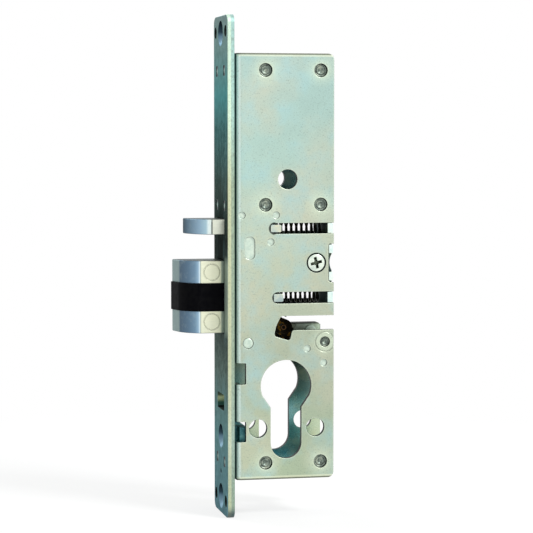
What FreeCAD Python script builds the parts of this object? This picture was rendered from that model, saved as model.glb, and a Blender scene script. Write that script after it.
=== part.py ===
import FreeCAD, Part
import math
import os

# Narrow-stile mortise deadlatch, all sizes in millimetres.
# X runs into the door edge, Z runs up, and the near side of the case faces -Y.
# The origin is the centre of the end plate's rear face, where it seats on the door edge.

# End plate
plate_height = 174.6
plate_width = 25.4
plate_thick = 2.5
plate_corner = 3.0
plate_edge_round = 0.35
plate_screw_margin = 6.1
plate_screw_radius = 2.6
plate_screw_dish = 4.4
trim_hole_margin = 5.6
trim_hole_side = 3.6
trim_hole_radius = 2.05
cylinder_screw_drop = 18.5
cylinder_screw_radius = 2.75
cylinder_screw_dish = 4.2
window_z = -47.6
window_width = 12.4
window_height = 5.6
window_corner = 0.8
opening_corner = 0.5
punch_mark_z = -72.4
punch_mark_radius = 0.9

# Case of two pressed halves
case_height = 148.2
case_rear = 35.6
case_thick = 22.2
sheet = 2.0
case_gap = 0.5
bend_radius = 2.5
flange_edge = 4.6
case_corner_top = 2.1
case_corner_front = 0.8
tenon_side = 6.6
tenon_width = 3.0
tenon_height = 3.6
tenon_end_margin = 5.9
tenon_mid_z = 21.4
tenon_short = 0.15
pad_height = 6.0
press_depth = 0.9
press_sink = 0.45
press_draft = 0.05
press_root = 0.2
slot_end_flat = 0.05
cut_past = 1.0

# Riveted spacer posts
post_radius = 3.5
post_head_radius = 2.35
post_head_sink = 0.7
post_front_x = 11.3
post_rear_x = 30.9
post_end_margin = 5.8
post_mid_z = 21.8
post_dimple = 1.0
post_groove_inset = 0.3
post_groove_width = 0.45
post_groove_depth = 0.2

# Holes through both case halves
upper_hole_x = 19.1
upper_hole_z = 30.6
upper_hole_radius = 3.45
side_hole_front_x = 8.6
side_hole_rear_x = 29.05
side_hole_z = -56.2
side_hole_radius = 3.25

# Profile cylinder opening
cylinder_x = 18.56
cylinder_z = -41.4
cylinder_radius = 9.05
cylinder_slot = 11.0
cylinder_drop = 25.5
shoulder_reach = 8.4
neck_drop = 7.56

# Pressed pips and rib that guide the slides
pip_radius = 1.25
pip_places = [(2.9, 18.2), (15.05, 18.2), (13.1, 8.9), (26.1, -28.5), (32.0, -33.55)]
rib_x = 5.7
rib_width = 3.65
rib_low = 2.83
rib_high = 10.82

# Front edge notches
notch_depth = 4.3
upper_notch = (-40.6, -33.2)
lower_notch = (-60.8, -53.7)
notch_corner = 0.4

# Latch bolt
latch_width = 12.7
latch_low = -22.95
latch_high = 2.35
latch_tip = 18.75
latch_curve_start = 10.7
latch_knee_back = 1.5
latch_knee_side = 0.2
latch_back = 2.5
latch_edge_round = 0.4
latch_gap = 0.3
latch_travel = 15.5
latch_mark_radius = 3.0
latch_mark_depth = 0.15
latch_mark_band = 0.3
latch_mark_x = 6.75
latch_mark_inset = 4.0

# Black wear insert in the latch bolt
insert_low = -15.25
insert_high = -5.5
insert_proud = 0.45
insert_side_share = 0.3
insert_skin = 1.45
insert_root = 8.5

# Both bolts
bolt_corner = 0.5
nose_bulge = 0.11

# Trigger bolt
trigger_width = 12.9
trigger_low = 11.4
trigger_high = 16.75
trigger_tip = 14.9
trigger_curve_start = 6.9
trigger_travel = 12.4
trigger_groove = 0.3
trigger_groove_depth = 0.2
trigger_knee_back = 0.25
trigger_knee_side = 4.6
trigger_pin_sink = 0.3

# Springs and the carriages they push
slide_clear = 0.2
spring_end_x = 33.4
spring_bore_clear = 0.3
latch_spring_z = -10.6
latch_spring_start = 0.0
latch_spring_wire = 0.8
latch_spring_outer = 5.0
latch_spring_pitch = 1.56
trigger_spring_z = 13.55
trigger_spring_start = 4.0
trigger_spring_wire = 0.9
trigger_spring_outer = 5.0
trigger_spring_pitch = 1.61
closed_gap = 0.46
closed_turns = 2
spring_seat_gap = 0.05
spring_points = 4
spring_skip = 20
latch_lug = (14.16, 17.58)
latch_lug_height = 2.7
latch_slot_height = 4.0
lug_corner = 0.5
trigger_lug = (13.1, 16.87)
trigger_lug_height = 2.55
trigger_slot_height = 3.75
slot_lead = 0.35
carriage_width = 8.8
latch_carriage_high = -7.1
latch_carriage_low = -14.1
trigger_carriage_high = 16.9
trigger_carriage_low = 10.3
tongue_width = 6.4
tongue_length = 6.5
tongue_clear = 0.1
tongue_inset = 1.0
cross_pin_radius = 1.0
cross_pin_x = -1.3

# Rear stop plate and the screw that clamps the case
stop_thick = 1.9
stop_low = -13.6
stop_high = 17.2
rear_notch = (-5.5, 8.1)
rear_notch_depth = 1.9
rear_notch_corner = 0.6
rear_notch_lead = 0.9
stop_tabs = [(4.8, 7.75), (-4.8, -1.8)]
tab_clear = 0.15
stop_arc_radius = 5.6
stop_arc_depth = 0.75
boss_x = 29.35
boss_z = 1.47
boss_radius = 3.85
screw_head_radius = 3.5
screw_shank_radius = 1.9
screw_length = 17.0
screw_recess = 1.9
screw_blade = 0.62
screw_blade_depth = 1.5
screw_core_radius = 0.95
screw_turn = 14

# Retractor lever, its follower and its pivot
pivot_x = 32.45
pivot_z = -26.2
pivot_radius = 2.2
pivot_head_radius = 1.8
pivot_boss_radius = 3.1
pivot_ring_radius = 3.6
pivot_ring_width = 0.35
pivot_ring_depth = 0.15
pivot_dimple = 0.8
running_clear = 0.06
follower_x = 18.6
follower_z = -21.3
follower_radius = 2.95
follower_width = 15.0
follower_nose_z = -31.0
fork_clear = 0.1
fork_front_z = -24.5
fork_rear_z = -25.7
follower_pin_radius = 1.3
lever_swing = 24.0
lever_width = 4.0
lever_top = -20.2
lever_end_radius = 2.7
lever_rear = 0.4
lever_rear_round = 1.2
lever_neck_x = 5.5
lever_neck_drop = 2.9
lever_neck_round = 1.5
stud_x = 29.4
stud_z = -23.1
stud_radius = 1.95
stud_proud = 0.8
lever_mark_x = 4.6
lever_mark_drop = 0.95
lever_mark_radius = 0.8
lever_mark_depth = 0.2
follower_nose_width = 3.0
follower_nose_root = (1.0, 2.0)
follower_horn = [(-2.9, 0.5), (-1.7, 3.2), (-0.9, 3.4), (1.3, 2.4)]
follower_horn_round = 0.4
follower_nose_side = 0.3
follower_nose_corner = 0.8
follower_cup = 0.8
follower_cup_depth = 0.4
follower_pin_sink = 0.6
# Corners of the opening round the follower: x and z from the follower's centre, then the rounding
actuator_corners = [(-1.85, 4.35, 1.4), (-3.6, 0.85, 7.0), (-4.35, -2.68, 1.2), (1.35, -4.33, 0.9),
                    (2.15, -0.68, 0.9)]
ramp_clear = 0.7
ramp_rear_run = 0.1

# Guide pin below the latch bolt
guide_pin_x = 5.07
guide_pin_z = -26.26
guide_pin_radius = 1.9
guide_pin_chamfer = 0.2

# Deadlock dog between the bolts
dog_x = 14.6
dog_z = 5.9
dog_pin_radius = 1.5
dog_boss_radius = 2.8
dog_width = 8.0
dog_tip_x = 3.3
dog_tip_z = 3.9
dog_arm = 1.5
dog_arm_upper = 2.5
dog_arm_lower = 2.2
dog_tip_drop = 0.4
dog_tip_width = 1.6
dog_tip_corner = 0.3
dog_corner = 0.5
dog_tail_x = 16.3
dog_tail_half = 0.8
dog_tail_z = 9.8
dog_pin_seat = 1.0

# Block that takes the cylinder fixing screw
block_depth = 2.6
block_height = 8.0

half = case_thick / 2
inner = half - sheet
case_front = case_gap
case_top = case_height / 2
far_out = 60.0
same_level = 0.0001


def vec(x, y, z):
    return FreeCAD.Vector(x, y, z)


def box(x0, x1, y0, y1, z0, z1):
    return Part.makeBox(x1 - x0, y1 - y0, z1 - z0, vec(x0, y0, z0))


def rod_y(x, z, radius, y0, y1):
    return Part.makeCylinder(radius, y1 - y0, vec(x, y0, z), vec(0, 1, 0))


def rod_x(y, z, radius, x0, x1):
    return Part.makeCylinder(radius, x1 - x0, vec(x0, y, z), vec(1, 0, 0))


def taper_y(x, z, radius0, radius1, y0, y1):
    return Part.makeCone(radius0, radius1, y1 - y0, vec(x, y0, z), vec(0, 1, 0))


def taper_x(y, z, radius0, radius1, x0, x1):
    return Part.makeCone(radius0, radius1, x1 - x0, vec(x0, y, z), vec(1, 0, 0))


def pin_y(x, z, radius, reach):
    return rod_y(x, z, radius, -reach, reach)


def ring_y(x, z, outer, wall, y0, y1):
    return rod_y(x, z, outer, y0, y1).cut(rod_y(x, z, outer - wall, y0 - 1, y1 + 1))


def rounded_wire(corners):
    """Closed wire through 3-D corners, each (point, radius), rounded by its radius."""
    edges = []
    joins = []
    count = len(corners)
    for i, (point, radius) in enumerate(corners):
        if radius == 0:
            joins.append((point, point))
            continue
        back = (corners[i - 1][0] - point).normalize()
        ahead = (corners[(i + 1) % count][0] - point).normalize()
        angle = back.getAngle(ahead)
        reach = radius / math.tan(angle / 2)
        middle = (back + ahead).normalize()
        start = point + back * reach
        end = point + ahead * reach
        crown = point + middle * (radius / math.sin(angle / 2) - radius)
        edges.append((i, Part.Arc(start, crown, end).toShape()))
        joins.append((start, end))
    arcs = dict(edges)
    chain = []
    for i in range(count):
        if i in arcs:
            chain.append(arcs[i])
        leave = joins[i][1]
        arrive = joins[(i + 1) % count][0]
        if leave.distanceToPoint(arrive) > 1e-6:
            chain.append(Part.LineSegment(leave, arrive).toShape())
    return Part.Wire(chain)


def side_slab(corners, y0, y1):
    """Slab with its outline in the XZ plane, each corner (x, z, radius)."""
    wire = rounded_wire([(vec(x, y0, z), radius) for x, z, radius in corners])
    return Part.Face(wire).extrude(vec(0, y1 - y0, 0))


def plan_slab(corners, z0, z1):
    """Slab with its outline in the XY plane, each corner (x, y, radius)."""
    wire = rounded_wire([(vec(x, y, z0), radius) for x, y, radius in corners])
    return Part.Face(wire).extrude(vec(0, 0, z1 - z0))


def end_slab(corners, x0, x1):
    """Slab with its outline in the YZ plane, each corner (y, z, radius)."""
    wire = rounded_wire([(vec(x0, y, z), radius) for y, z, radius in corners])
    return Part.Face(wire).extrude(vec(x1 - x0, 0, 0))


def slot_y(x0, x1, z0, z1, y0, y1, radius):
    corners = [(x0, z0, radius), (x1, z0, radius), (x1, z1, radius), (x0, z1, radius)]
    return side_slab(corners, y0, y1)


def mirrored(shape):
    return shape.mirror(vec(0, 0, 0), vec(0, 1, 0))


def pair(shape):
    return shape.fuse(mirrored(shape))


def round_level_edges(solid, levels, radius):
    """Rounds the edges that lie flat at the given heights, apart from those of the rear face."""
    rear = solid.BoundBox.XMax
    picked = []
    for edge in solid.Edges:
        bounds = edge.BoundBox
        off_level = min(max(abs(bounds.ZMin - level), abs(bounds.ZMax - level)) for level in levels)
        if off_level < same_level and bounds.XMin < rear - same_level:
            picked.append(edge)
    return solid.makeFillet(radius, picked)


def write(name, shape):
    shape = shape.removeSplitter()
    if not shape.isValid():
        raise ValueError(name + " is not valid")
    shape.exportStep("parts/" + name + ".step")
    print(name, len(shape.Solids), round(shape.Volume, 1))


os.makedirs("parts", exist_ok=True)


# Places that several pieces share
post_z = case_top - post_end_margin
post_places = {
    "top_front_post": (post_front_x, post_z),
    "top_rear_post": (post_rear_x, post_z),
    "middle_front_post": (post_front_x, post_mid_z),
    "middle_rear_post": (post_rear_x, post_mid_z),
    "bottom_front_post": (post_front_x, -post_z),
    "bottom_rear_post": (post_rear_x, -post_z),
}
tenon_levels = [case_top - tenon_end_margin, tenon_mid_z, -(case_top - tenon_end_margin)]
latch_opening = (latch_low - latch_gap, latch_high + latch_gap)
trigger_opening = (trigger_low - latch_gap, trigger_high + latch_gap)
latch_half = latch_width / 2
trigger_half = trigger_width / 2
trigger_mid = (trigger_low + trigger_high) / 2
bolt_side = max(latch_half, trigger_half) + latch_gap
stop_front = spring_end_x
cylinder_screw_z = cylinder_z - cylinder_screw_drop


# End plate
def plate_window(reach, low, high, corner):
    outline = [(-reach, low, corner), (reach, low, corner), (reach, high, corner), (-reach, high, corner)]
    return end_slab(outline, -plate_thick - cut_past, cut_past)


def make_end_plate():
    side = plate_width / 2
    top = plate_height / 2
    corners = [(-side, -top, plate_corner), (side, -top, plate_corner)]
    corners += [(side, top, plate_corner), (-side, top, plate_corner)]
    plate = end_slab(corners, -plate_thick, 0)
    front_edges = [e for e in plate.Edges if e.BoundBox.XMax < -plate_thick + same_level]
    plate = plate.makeFillet(plate_edge_round, front_edges)
    dished = [(top - plate_screw_margin, plate_screw_radius, plate_screw_dish)]
    dished += [(plate_screw_margin - top, plate_screw_radius, plate_screw_dish)]
    dished += [(cylinder_screw_z, cylinder_screw_radius, cylinder_screw_dish)]
    for z, hole, dish in dished:
        plate = plate.cut(rod_x(0, z, hole, -plate_thick - cut_past, cut_past))
        sink = min(dish - hole, plate_thick * 0.9)
        plate = plate.cut(taper_x(0, z, dish, dish - sink, -plate_thick, -plate_thick + sink))
    for z in (top - trim_hole_margin, trim_hole_margin - top):
        for y in (side - trim_hole_side, trim_hole_side - side):
            plate = plate.cut(rod_x(y, z, trim_hole_radius, -plate_thick - cut_past, cut_past))
    for z in tenon_levels:
        cutter = box(-plate_thick - cut_past, cut_past, tenon_side - tenon_width / 2,
                     tenon_side + tenon_width / 2, z - tenon_height / 2, z + tenon_height / 2)
        plate = plate.cut(pair(cutter))
    for (z0, z1), side_gap in ((latch_opening, latch_half), (trigger_opening, trigger_half)):
        plate = plate.cut(plate_window(side_gap + latch_gap, z0, z1, opening_corner))
    window_low = window_z - window_height / 2
    plate = plate.cut(plate_window(window_width / 2, window_low, window_low + window_height, window_corner))
    mark = taper_x(0, punch_mark_z, punch_mark_radius, punch_mark_radius / 2,
                   -plate_thick, -plate_thick + punch_mark_radius)
    return plate.cut(mark)


# One case half, on the near side
def cylinder_profile(y0, y1):
    """Opening for a profile cylinder: a round top on straight shoulders, a neck and a round foot."""
    slot_half = cylinder_slot / 2
    foot_z = cylinder_z - cylinder_drop + slot_half
    shoulder_drop = math.sqrt(cylinder_radius ** 2 - shoulder_reach ** 2)

    def at(dx, z):
        return vec(cylinder_x + dx, y0, z)

    shoulders = [at(side * shoulder_reach, cylinder_z - shoulder_drop) for side in (-1, 1)]
    necks = [at(side * slot_half, cylinder_z - neck_drop) for side in (-1, 1)]
    feet = [at(side * slot_half, foot_z) for side in (-1, 1)]
    edges = [Part.Arc(shoulders[0], at(0, cylinder_z + cylinder_radius), shoulders[1]).toShape(),
             Part.LineSegment(shoulders[1], necks[1]).toShape(),
             Part.LineSegment(necks[1], feet[1]).toShape(),
             Part.Arc(feet[1], at(0, foot_z - slot_half), feet[0]).toShape(),
             Part.LineSegment(feet[0], necks[0]).toShape(),
             Part.LineSegment(necks[0], shoulders[0]).toShape()]
    return Part.Face(Part.Wire(edges)).extrude(vec(0, y1 - y0, 0))


def actuator_profile(y0, y1):
    corners = [(follower_x + dx, follower_z + dz, radius) for dx, dz, radius in actuator_corners]
    corners.append((case_rear + cut_past, corners[-1][1], 0))
    corners.append((case_rear + cut_past, corners[0][1], 0))
    return side_slab(corners, y0, y1)


def spring_slot(lug, height, level, y0, y1):
    start = lug[0] - slot_lead
    end = case_rear + cut_past
    radius = height / 2 - slot_end_flat
    corners = [(start, level - height / 2, radius), (end, level - height / 2, 0)]
    corners += [(end, level + height / 2, 0), (start, level + height / 2, radius)]
    return side_slab(corners, y0, y1)


def make_case_half():
    outer = -half
    skin = -inner
    sheet_plan = [(case_rear, outer, 0), (case_front, outer, bend_radius), (case_front, -flange_edge, 0),
                  (case_front + sheet, -flange_edge, 0), (case_front + sheet, skin, bend_radius - sheet),
                  (case_rear, skin, 0)]
    shell = plan_slab(sheet_plan, -case_top, case_top)
    limit = side_slab([(case_front, -case_top, case_corner_front), (case_rear, -case_top, case_corner_top),
                       (case_rear, case_top, case_corner_top), (case_front, case_top, case_corner_front)],
                      outer - cut_past, 0)
    shell = shell.common(limit)
    cuts = []
    y0 = outer - cut_past
    y1 = skin + cut_past
    for x, z in post_places.values():
        cuts.append(rod_y(x, z, post_head_radius, y0, y1))
    cuts.append(rod_y(pivot_x, pivot_z, pivot_head_radius, y0, y1))
    cuts.append(ring_y(pivot_x, pivot_z, pivot_ring_radius, pivot_ring_width, y0, outer + pivot_ring_depth))
    cuts.append(rod_y(guide_pin_x, guide_pin_z, guide_pin_radius, y0, y1))
    cuts.append(rod_y(upper_hole_x, upper_hole_z, upper_hole_radius, y0, y1))
    for x in (side_hole_front_x, side_hole_rear_x):
        cuts.append(rod_y(x, side_hole_z, side_hole_radius, y0, y1))
    cuts.append(cylinder_profile(y0, y1))
    cuts.append(actuator_profile(y0, y1))
    cuts.append(spring_slot(latch_lug, latch_slot_height, latch_spring_z, y0, y1))
    cuts.append(spring_slot(trigger_lug, trigger_slot_height, trigger_spring_z, y0, y1))
    low, high = rear_notch
    edge = case_rear - rear_notch_depth
    end = case_rear + cut_past
    corner = rear_notch_corner
    cuts.append(side_slab([(edge, low + corner, corner / 2), (edge + rear_notch_lead, low, 0), (end, low, 0),
                           (end, high, 0), (edge, high, corner)], y0, y1))
    for low, high in (upper_notch, lower_notch):
        cuts.append(slot_y(-cut_past, notch_depth, low, high, y0, cut_past, notch_corner))
    flange_end = case_front + sheet + cut_past
    for low, high in (latch_opening, trigger_opening):
        cuts.append(box(-cut_past, flange_end, -bolt_side, cut_past, low, high))
    cuts.append(box(-cut_past, flange_end, -window_width / 2, cut_past,
                    window_z - window_height / 2, window_z + window_height / 2))
    for x, z in pip_places:
        cuts.append(rod_y(x, z, pip_radius, y0, outer + press_sink))
    cuts.append(slot_y(rib_x - rib_width / 2, rib_x + rib_width / 2, rib_low, rib_high,
                       y0, outer + press_sink, rib_width / 2 - slot_end_flat))
    cuts.append(rod_y(dog_x, dog_z, dog_pin_radius, skin - dog_pin_seat, y1))
    shell = shell.cut(cuts)
    adds = []
    for x, z in pip_places:
        adds.append(rod_y(x, z, pip_radius - press_draft, skin - press_root, skin + press_depth))
    rib_half = rib_width / 2 - press_draft
    adds.append(slot_y(rib_x - rib_half, rib_x + rib_half, rib_low + press_draft, rib_high - press_draft,
                       skin - press_root, skin + press_depth, rib_half - slot_end_flat))
    for z in tenon_levels:
        adds.append(box(tenon_short - plate_thick, case_front + sheet / 2, -tenon_side - tenon_width / 2,
                        -tenon_side + tenon_width / 2, z - tenon_height / 2, z + tenon_height / 2))
        adds.append(box(0, case_front + sheet / 2, -inner, -flange_edge,
                        z - pad_height / 2, z + pad_height / 2))
    return shell.fuse(adds)


def screw_cone(clear):
    """Countersink of the clamping screw, opening at the near face."""
    depth = screw_head_radius - screw_shank_radius
    return taper_y(boss_x, boss_z, screw_head_radius + clear, screw_shank_radius + clear,
                   -half, -half + depth)


near_half = make_case_half()
far_half = mirrored(near_half)
near_half = near_half.cut([screw_cone(0), rod_y(boss_x, boss_z, screw_shank_radius, -half - cut_past, 0)])
far_half = far_half.cut(rod_y(boss_x, boss_z, screw_shank_radius, 0, half + cut_past))
write("end_plate", make_end_plate())
write("near_case_half", near_half)
write("far_case_half", far_half)


# Spacer posts with heads staked below the outer face
def make_post(x, z, shaft, head, dimple):
    reach = half - post_head_sink
    post = pin_y(x, z, shaft, inner).fuse(pin_y(x, z, head, reach))
    cup = taper_y(x, z, dimple, dimple / 2, -reach, -reach + dimple / 2)
    groove = ring_y(x, z, head - post_groove_inset, post_groove_width, -reach - cut_past,
                    -reach + post_groove_depth)
    return post.cut([cup, mirrored(cup), groove, mirrored(groove)])


for name, (x, z) in post_places.items():
    write(name, make_post(x, z, post_radius, post_head_radius, post_dimple))
write("lever_pivot_post", make_post(pivot_x, pivot_z, pivot_radius, pivot_head_radius, pivot_dimple))
guide_pin = pin_y(guide_pin_x, guide_pin_z, guide_pin_radius, half)
guide_pin = guide_pin.makeChamfer(guide_pin_chamfer, [e for e in guide_pin.Edges if e.Closed])
write("latch_guide_pin", guide_pin)


# Rear stop plate, tabbed into the case halves
def make_rear_stop():
    rear = stop_front + stop_thick
    plate = box(stop_front, rear, -inner, inner, stop_low, stop_high)
    tabs = list(stop_tabs)
    for level, height in ((latch_spring_z, latch_slot_height), (trigger_spring_z, trigger_slot_height)):
        tabs.append((level - height / 2 + tab_clear, level + height / 2 - tab_clear))
    edge = case_rear - rear_notch_depth
    for low, high in tabs:
        start = stop_front
        if high <= rear_notch[1] and low >= rear_notch[0]:
            start = edge + tab_clear
        plate = plate.fuse(box(start, rear, -half, half, low, high))
    arc_x = rear + stop_arc_radius - stop_arc_depth
    arc_z = (stop_tabs[0][0] + stop_tabs[1][1]) / 2
    return plate.cut(rod_y(arc_x, arc_z, stop_arc_radius, -half - cut_past, half + cut_past))


rear_stop = make_rear_stop()
write("rear_stop", rear_stop)
boss = pin_y(boss_x, boss_z, boss_radius, inner)
write("centre_boss", boss.cut(pin_y(boss_x, boss_z, screw_shank_radius, half)))


# Clamping screw with a cross recess
def make_screw():
    screw = screw_cone(0).fuse(rod_y(boss_x, boss_z, screw_shank_radius, -half, -half + screw_length))
    middle = vec(boss_x, -half, boss_z)
    blades = []
    for angle in (0, 90):
        corner = vec(-screw_recess, 0, -screw_blade / 2)
        blade = Part.makeBox(screw_recess * 2, screw_blade_depth, screw_blade, corner)
        blade.Placement = FreeCAD.Placement(middle, FreeCAD.Rotation(vec(0, 1, 0), angle - screw_turn))
        blades.append(blade)
    core = taper_y(boss_x, boss_z, screw_core_radius, screw_core_radius / 3, -half, -half + screw_recess)
    return screw.cut(blades + [core])


write("case_screw", make_screw())


# Block behind the end plate, bored for the cylinder fixing screw
low = cylinder_screw_z - block_height / 2
block_rear = case_front + sheet + block_depth
block_side = inner - (bend_radius - sheet)
block = box(case_front + sheet, block_rear, -block_side, block_side, low, low + block_height)
block = block.fuse(box(0, case_front + sheet, -flange_edge, flange_edge, low, low + block_height))
block_bore = rod_x(0, cylinder_screw_z, cylinder_screw_radius, -cut_past, far_out)
write("cylinder_screw_block", block.cut(block_bore))


# Latch bolt, with its tip on the far side and its curved face towards the near side
def nose_solid(grow, side, tip, start, back_step, side_step, rear, z0, z1):
    """Bolt head seen from above: flat far side, slanted front, and a convex face to the near side."""
    near = -side - grow * insert_side_share
    far = side + grow * insert_side_share
    front = -tip - grow
    knee = vec(front + back_step, side_step, z0)
    land = vec(-start, near, z0)
    turn = math.atan2(land.x - knee.x, knee.y - land.y)
    bulge = nose_bulge * knee.distanceToPoint(land)
    crown = (knee + land) * 0.5 + vec(-math.cos(turn), -math.sin(turn), 0) * bulge
    corner = vec(front, far - bolt_corner, z0)
    far_start = vec(front + bolt_corner, far, z0)
    cut_in = bolt_corner * (1 - math.sqrt(0.5))
    mid = vec(front + cut_in, far - cut_in, z0)
    near_rear = vec(rear, near, z0)
    far_rear = vec(rear, far, z0)
    edges = [
        Part.LineSegment(near_rear, far_rear).toShape(),
        Part.LineSegment(far_rear, far_start).toShape(),
        Part.Arc(far_start, mid, corner).toShape(),
        Part.LineSegment(corner, knee).toShape(),
        Part.Arc(knee, crown, land).toShape(),
        Part.LineSegment(land, near_rear).toShape(),
    ]
    return Part.Face(Part.Wire(edges)).extrude(vec(0, 0, z1 - z0))


def latch_shape(grow, rear, z0, z1):
    return nose_solid(grow, latch_half, latch_tip, latch_curve_start, latch_knee_back, latch_knee_side,
                      rear, z0, z1)


tongue_half = tongue_width / 2
tongue_start = latch_back - tongue_length


def make_latch_bolt():
    bolt = latch_shape(0, latch_back, latch_low, latch_high)
    mouth = box(-far_out, -insert_root, -far_out, far_out, insert_low, insert_high)
    core = latch_half - insert_skin
    cheeks = pair(box(-insert_root - cut_past, latch_back + cut_past, core, far_out, insert_low, insert_high))
    pocket_half = tongue_half + tongue_clear
    pocket = box(tongue_start - tongue_clear, latch_back + cut_past, -pocket_half, pocket_half,
                 latch_carriage_low - tongue_clear, latch_carriage_high + tongue_clear)
    pin = pin_y(cross_pin_x, latch_spring_z, cross_pin_radius, far_out)
    for cutter in (mouth, cheeks, pocket, pin):
        bolt = bolt.cut(cutter)
    bolt = round_level_edges(bolt, (latch_low, latch_high), latch_edge_round)
    for z in (latch_high - latch_mark_inset, latch_low + latch_mark_inset):
        mark = ring_y(-latch_mark_x, z, latch_mark_radius, latch_mark_band,
                      -latch_half - cut_past, -latch_half + latch_mark_depth)
        bolt = bolt.cut(pair(mark))
    return bolt


def make_latch_insert():
    insert = latch_shape(insert_proud, latch_back, insert_low, insert_high)
    core = latch_half - insert_skin
    hollow = box(-insert_root, latch_back + cut_past, -core, core,
                 insert_low - cut_past, insert_high + cut_past)
    return insert.cut(hollow)


write("latch_bolt", make_latch_bolt())
write("latch_insert", make_latch_insert())


# Where the follower stands at full swing, and the ramp it slides along
def swung(x, z, degrees):
    turn = math.radians(degrees)
    dx = x - pivot_x
    dz = z - pivot_z
    return (pivot_x + dx * math.cos(turn) + dz * math.sin(turn),
            pivot_z + dz * math.cos(turn) - dx * math.sin(turn))


lifted_x, lifted_z = swung(follower_x, follower_z, lever_swing)
ramp_dx = follower_x - (lifted_x - latch_travel)
ramp_dz = lifted_z - follower_z
ramp_angle = math.atan2(ramp_dz, ramp_dx)
ramp_stand = follower_radius + ramp_clear
ramp_out = vec(math.sin(ramp_angle), 0, math.cos(ramp_angle))
ramp_rear = vec(follower_x, 0, follower_z) + ramp_out * ramp_stand
ramp_line = vec(-math.cos(ramp_angle), 0, math.sin(ramp_angle))
ramp_rear_end = ramp_rear - ramp_line * ramp_rear_run
ramp_relief_z = lifted_z + ramp_stand
ramp_front_end = ramp_rear + ramp_line * ((ramp_relief_z - ramp_rear.z) / math.sin(ramp_angle))


# Carriages: sliding blocks that join each bolt to its lugs and hold its spring
def lug_bar(lug, height, level):
    bar = box(lug[0], lug[1], -half, half, level - height / 2, level + height / 2)
    return bar.makeFillet(lug_corner, [e for e in bar.Edges if e.BoundBox.YLength > inner])


def make_latch_carriage():
    room = latch_spring_outer / 2 + spring_bore_clear
    low = latch_carriage_low
    high = latch_carriage_high
    body = side_slab([(latch_back, high, 0), (latch_back, ramp_relief_z, 0),
                      (ramp_front_end.x, ramp_relief_z, 0), (ramp_rear_end.x, ramp_rear_end.z, 0),
                      (ramp_rear_end.x, low, 0), (latch_lug[1], low, 0), (latch_lug[1], high, 0)],
                     -carriage_width / 2, carriage_width / 2)
    tongue = box(tongue_start, latch_back, -tongue_half, tongue_half, low, high)
    body = body.fuse([tongue, lug_bar(latch_lug, latch_lug_height, latch_spring_z)])
    top = latch_spring_z + room
    mouth = ramp_rear_end.z - cut_past
    crown = room - slot_end_flat
    channel = end_slab([(-room, mouth, 0), (room, mouth, 0), (room, top, crown), (-room, top, crown)],
                       latch_spring_start, far_out)
    pin = pin_y(cross_pin_x, latch_spring_z, cross_pin_radius, half)
    return body.cut([channel, pin])


def make_trigger_carriage():
    bore = trigger_spring_outer / 2 + spring_bore_clear
    body = box(latch_back, trigger_lug[1], -carriage_width / 2, carriage_width / 2,
               trigger_carriage_low, trigger_carriage_high)
    tongue = box(tongue_start, latch_back, -tongue_half, tongue_half,
                 trigger_low + tongue_inset, trigger_high - tongue_inset)
    body = body.fuse([tongue, lug_bar(trigger_lug, trigger_lug_height, trigger_spring_z)])
    spring_room = rod_x(0, trigger_spring_z, bore, trigger_spring_start, far_out)
    pin = pin_y(cross_pin_x, trigger_mid, cross_pin_radius, half)
    return body.cut([spring_room, pin])


write("latch_carriage", make_latch_carriage())
latch_pin_reach = latch_half - insert_skin - tongue_clear
write("latch_cross_pin", pin_y(cross_pin_x, latch_spring_z, cross_pin_radius, latch_pin_reach))


# Trigger bolt
def make_trigger_bolt():
    bolt = nose_solid(0, trigger_half, trigger_tip, trigger_curve_start, trigger_knee_back, trigger_knee_side,
                      latch_back, trigger_low, trigger_high)
    grip = tongue_inset - tongue_clear
    pocket_half = tongue_half + tongue_clear
    pocket = box(tongue_start - tongue_clear, latch_back + cut_past, -pocket_half, pocket_half,
                 trigger_low + grip, trigger_high - grip)
    pin = pin_y(cross_pin_x, trigger_mid, cross_pin_radius, far_out)
    bolt = round_level_edges(bolt.cut(pocket).cut(pin), (trigger_low, trigger_high), latch_edge_round)
    line = box(-trigger_curve_start, -trigger_curve_start + trigger_groove, -far_out,
               -trigger_half + trigger_groove_depth, trigger_low - cut_past, trigger_high - tongue_inset)
    return bolt.cut(line)


write("trigger_bolt", make_trigger_bolt())
write("trigger_carriage", make_trigger_carriage())
trigger_pin_reach = trigger_half - trigger_pin_sink
write("trigger_cross_pin", pin_y(cross_pin_x, trigger_mid, cross_pin_radius, trigger_pin_reach))


# Compression springs: one tube along arcs, with straight ends square to their seats
def biarc(p0, t0, p1, t1):
    """Two tangent arcs from p0 along t0 to p1 along t1, as (start, middle, end) triples."""
    chord = p1 - p0
    both = t0 + t1
    a = 2 * (1 - t0.dot(t1))
    b = 2 * chord.dot(both)
    c = -chord.dot(chord)
    if abs(a) < 1e-9:
        reach = -c / b
    else:
        reach = (-b + math.sqrt(b * b - 4 * a * c)) / (2 * a)
    q0 = p0 + t0 * reach
    q1 = p1 - t1 * reach
    join = (q0 + q1) * 0.5
    return [arc_middle(p0, q0, join), arc_middle(join, q1, p1)]


def arc_middle(start, apex, end):
    half_way = (start + end) * 0.5
    rise = apex.distanceToPoint(half_way)
    side = apex.distanceToPoint(start)
    radius = half_way.distanceToPoint(start) * side / rise
    middle = apex + (half_way - apex) * ((side * side / rise - radius) / rise)
    return (start, middle, end, radius)


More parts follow.
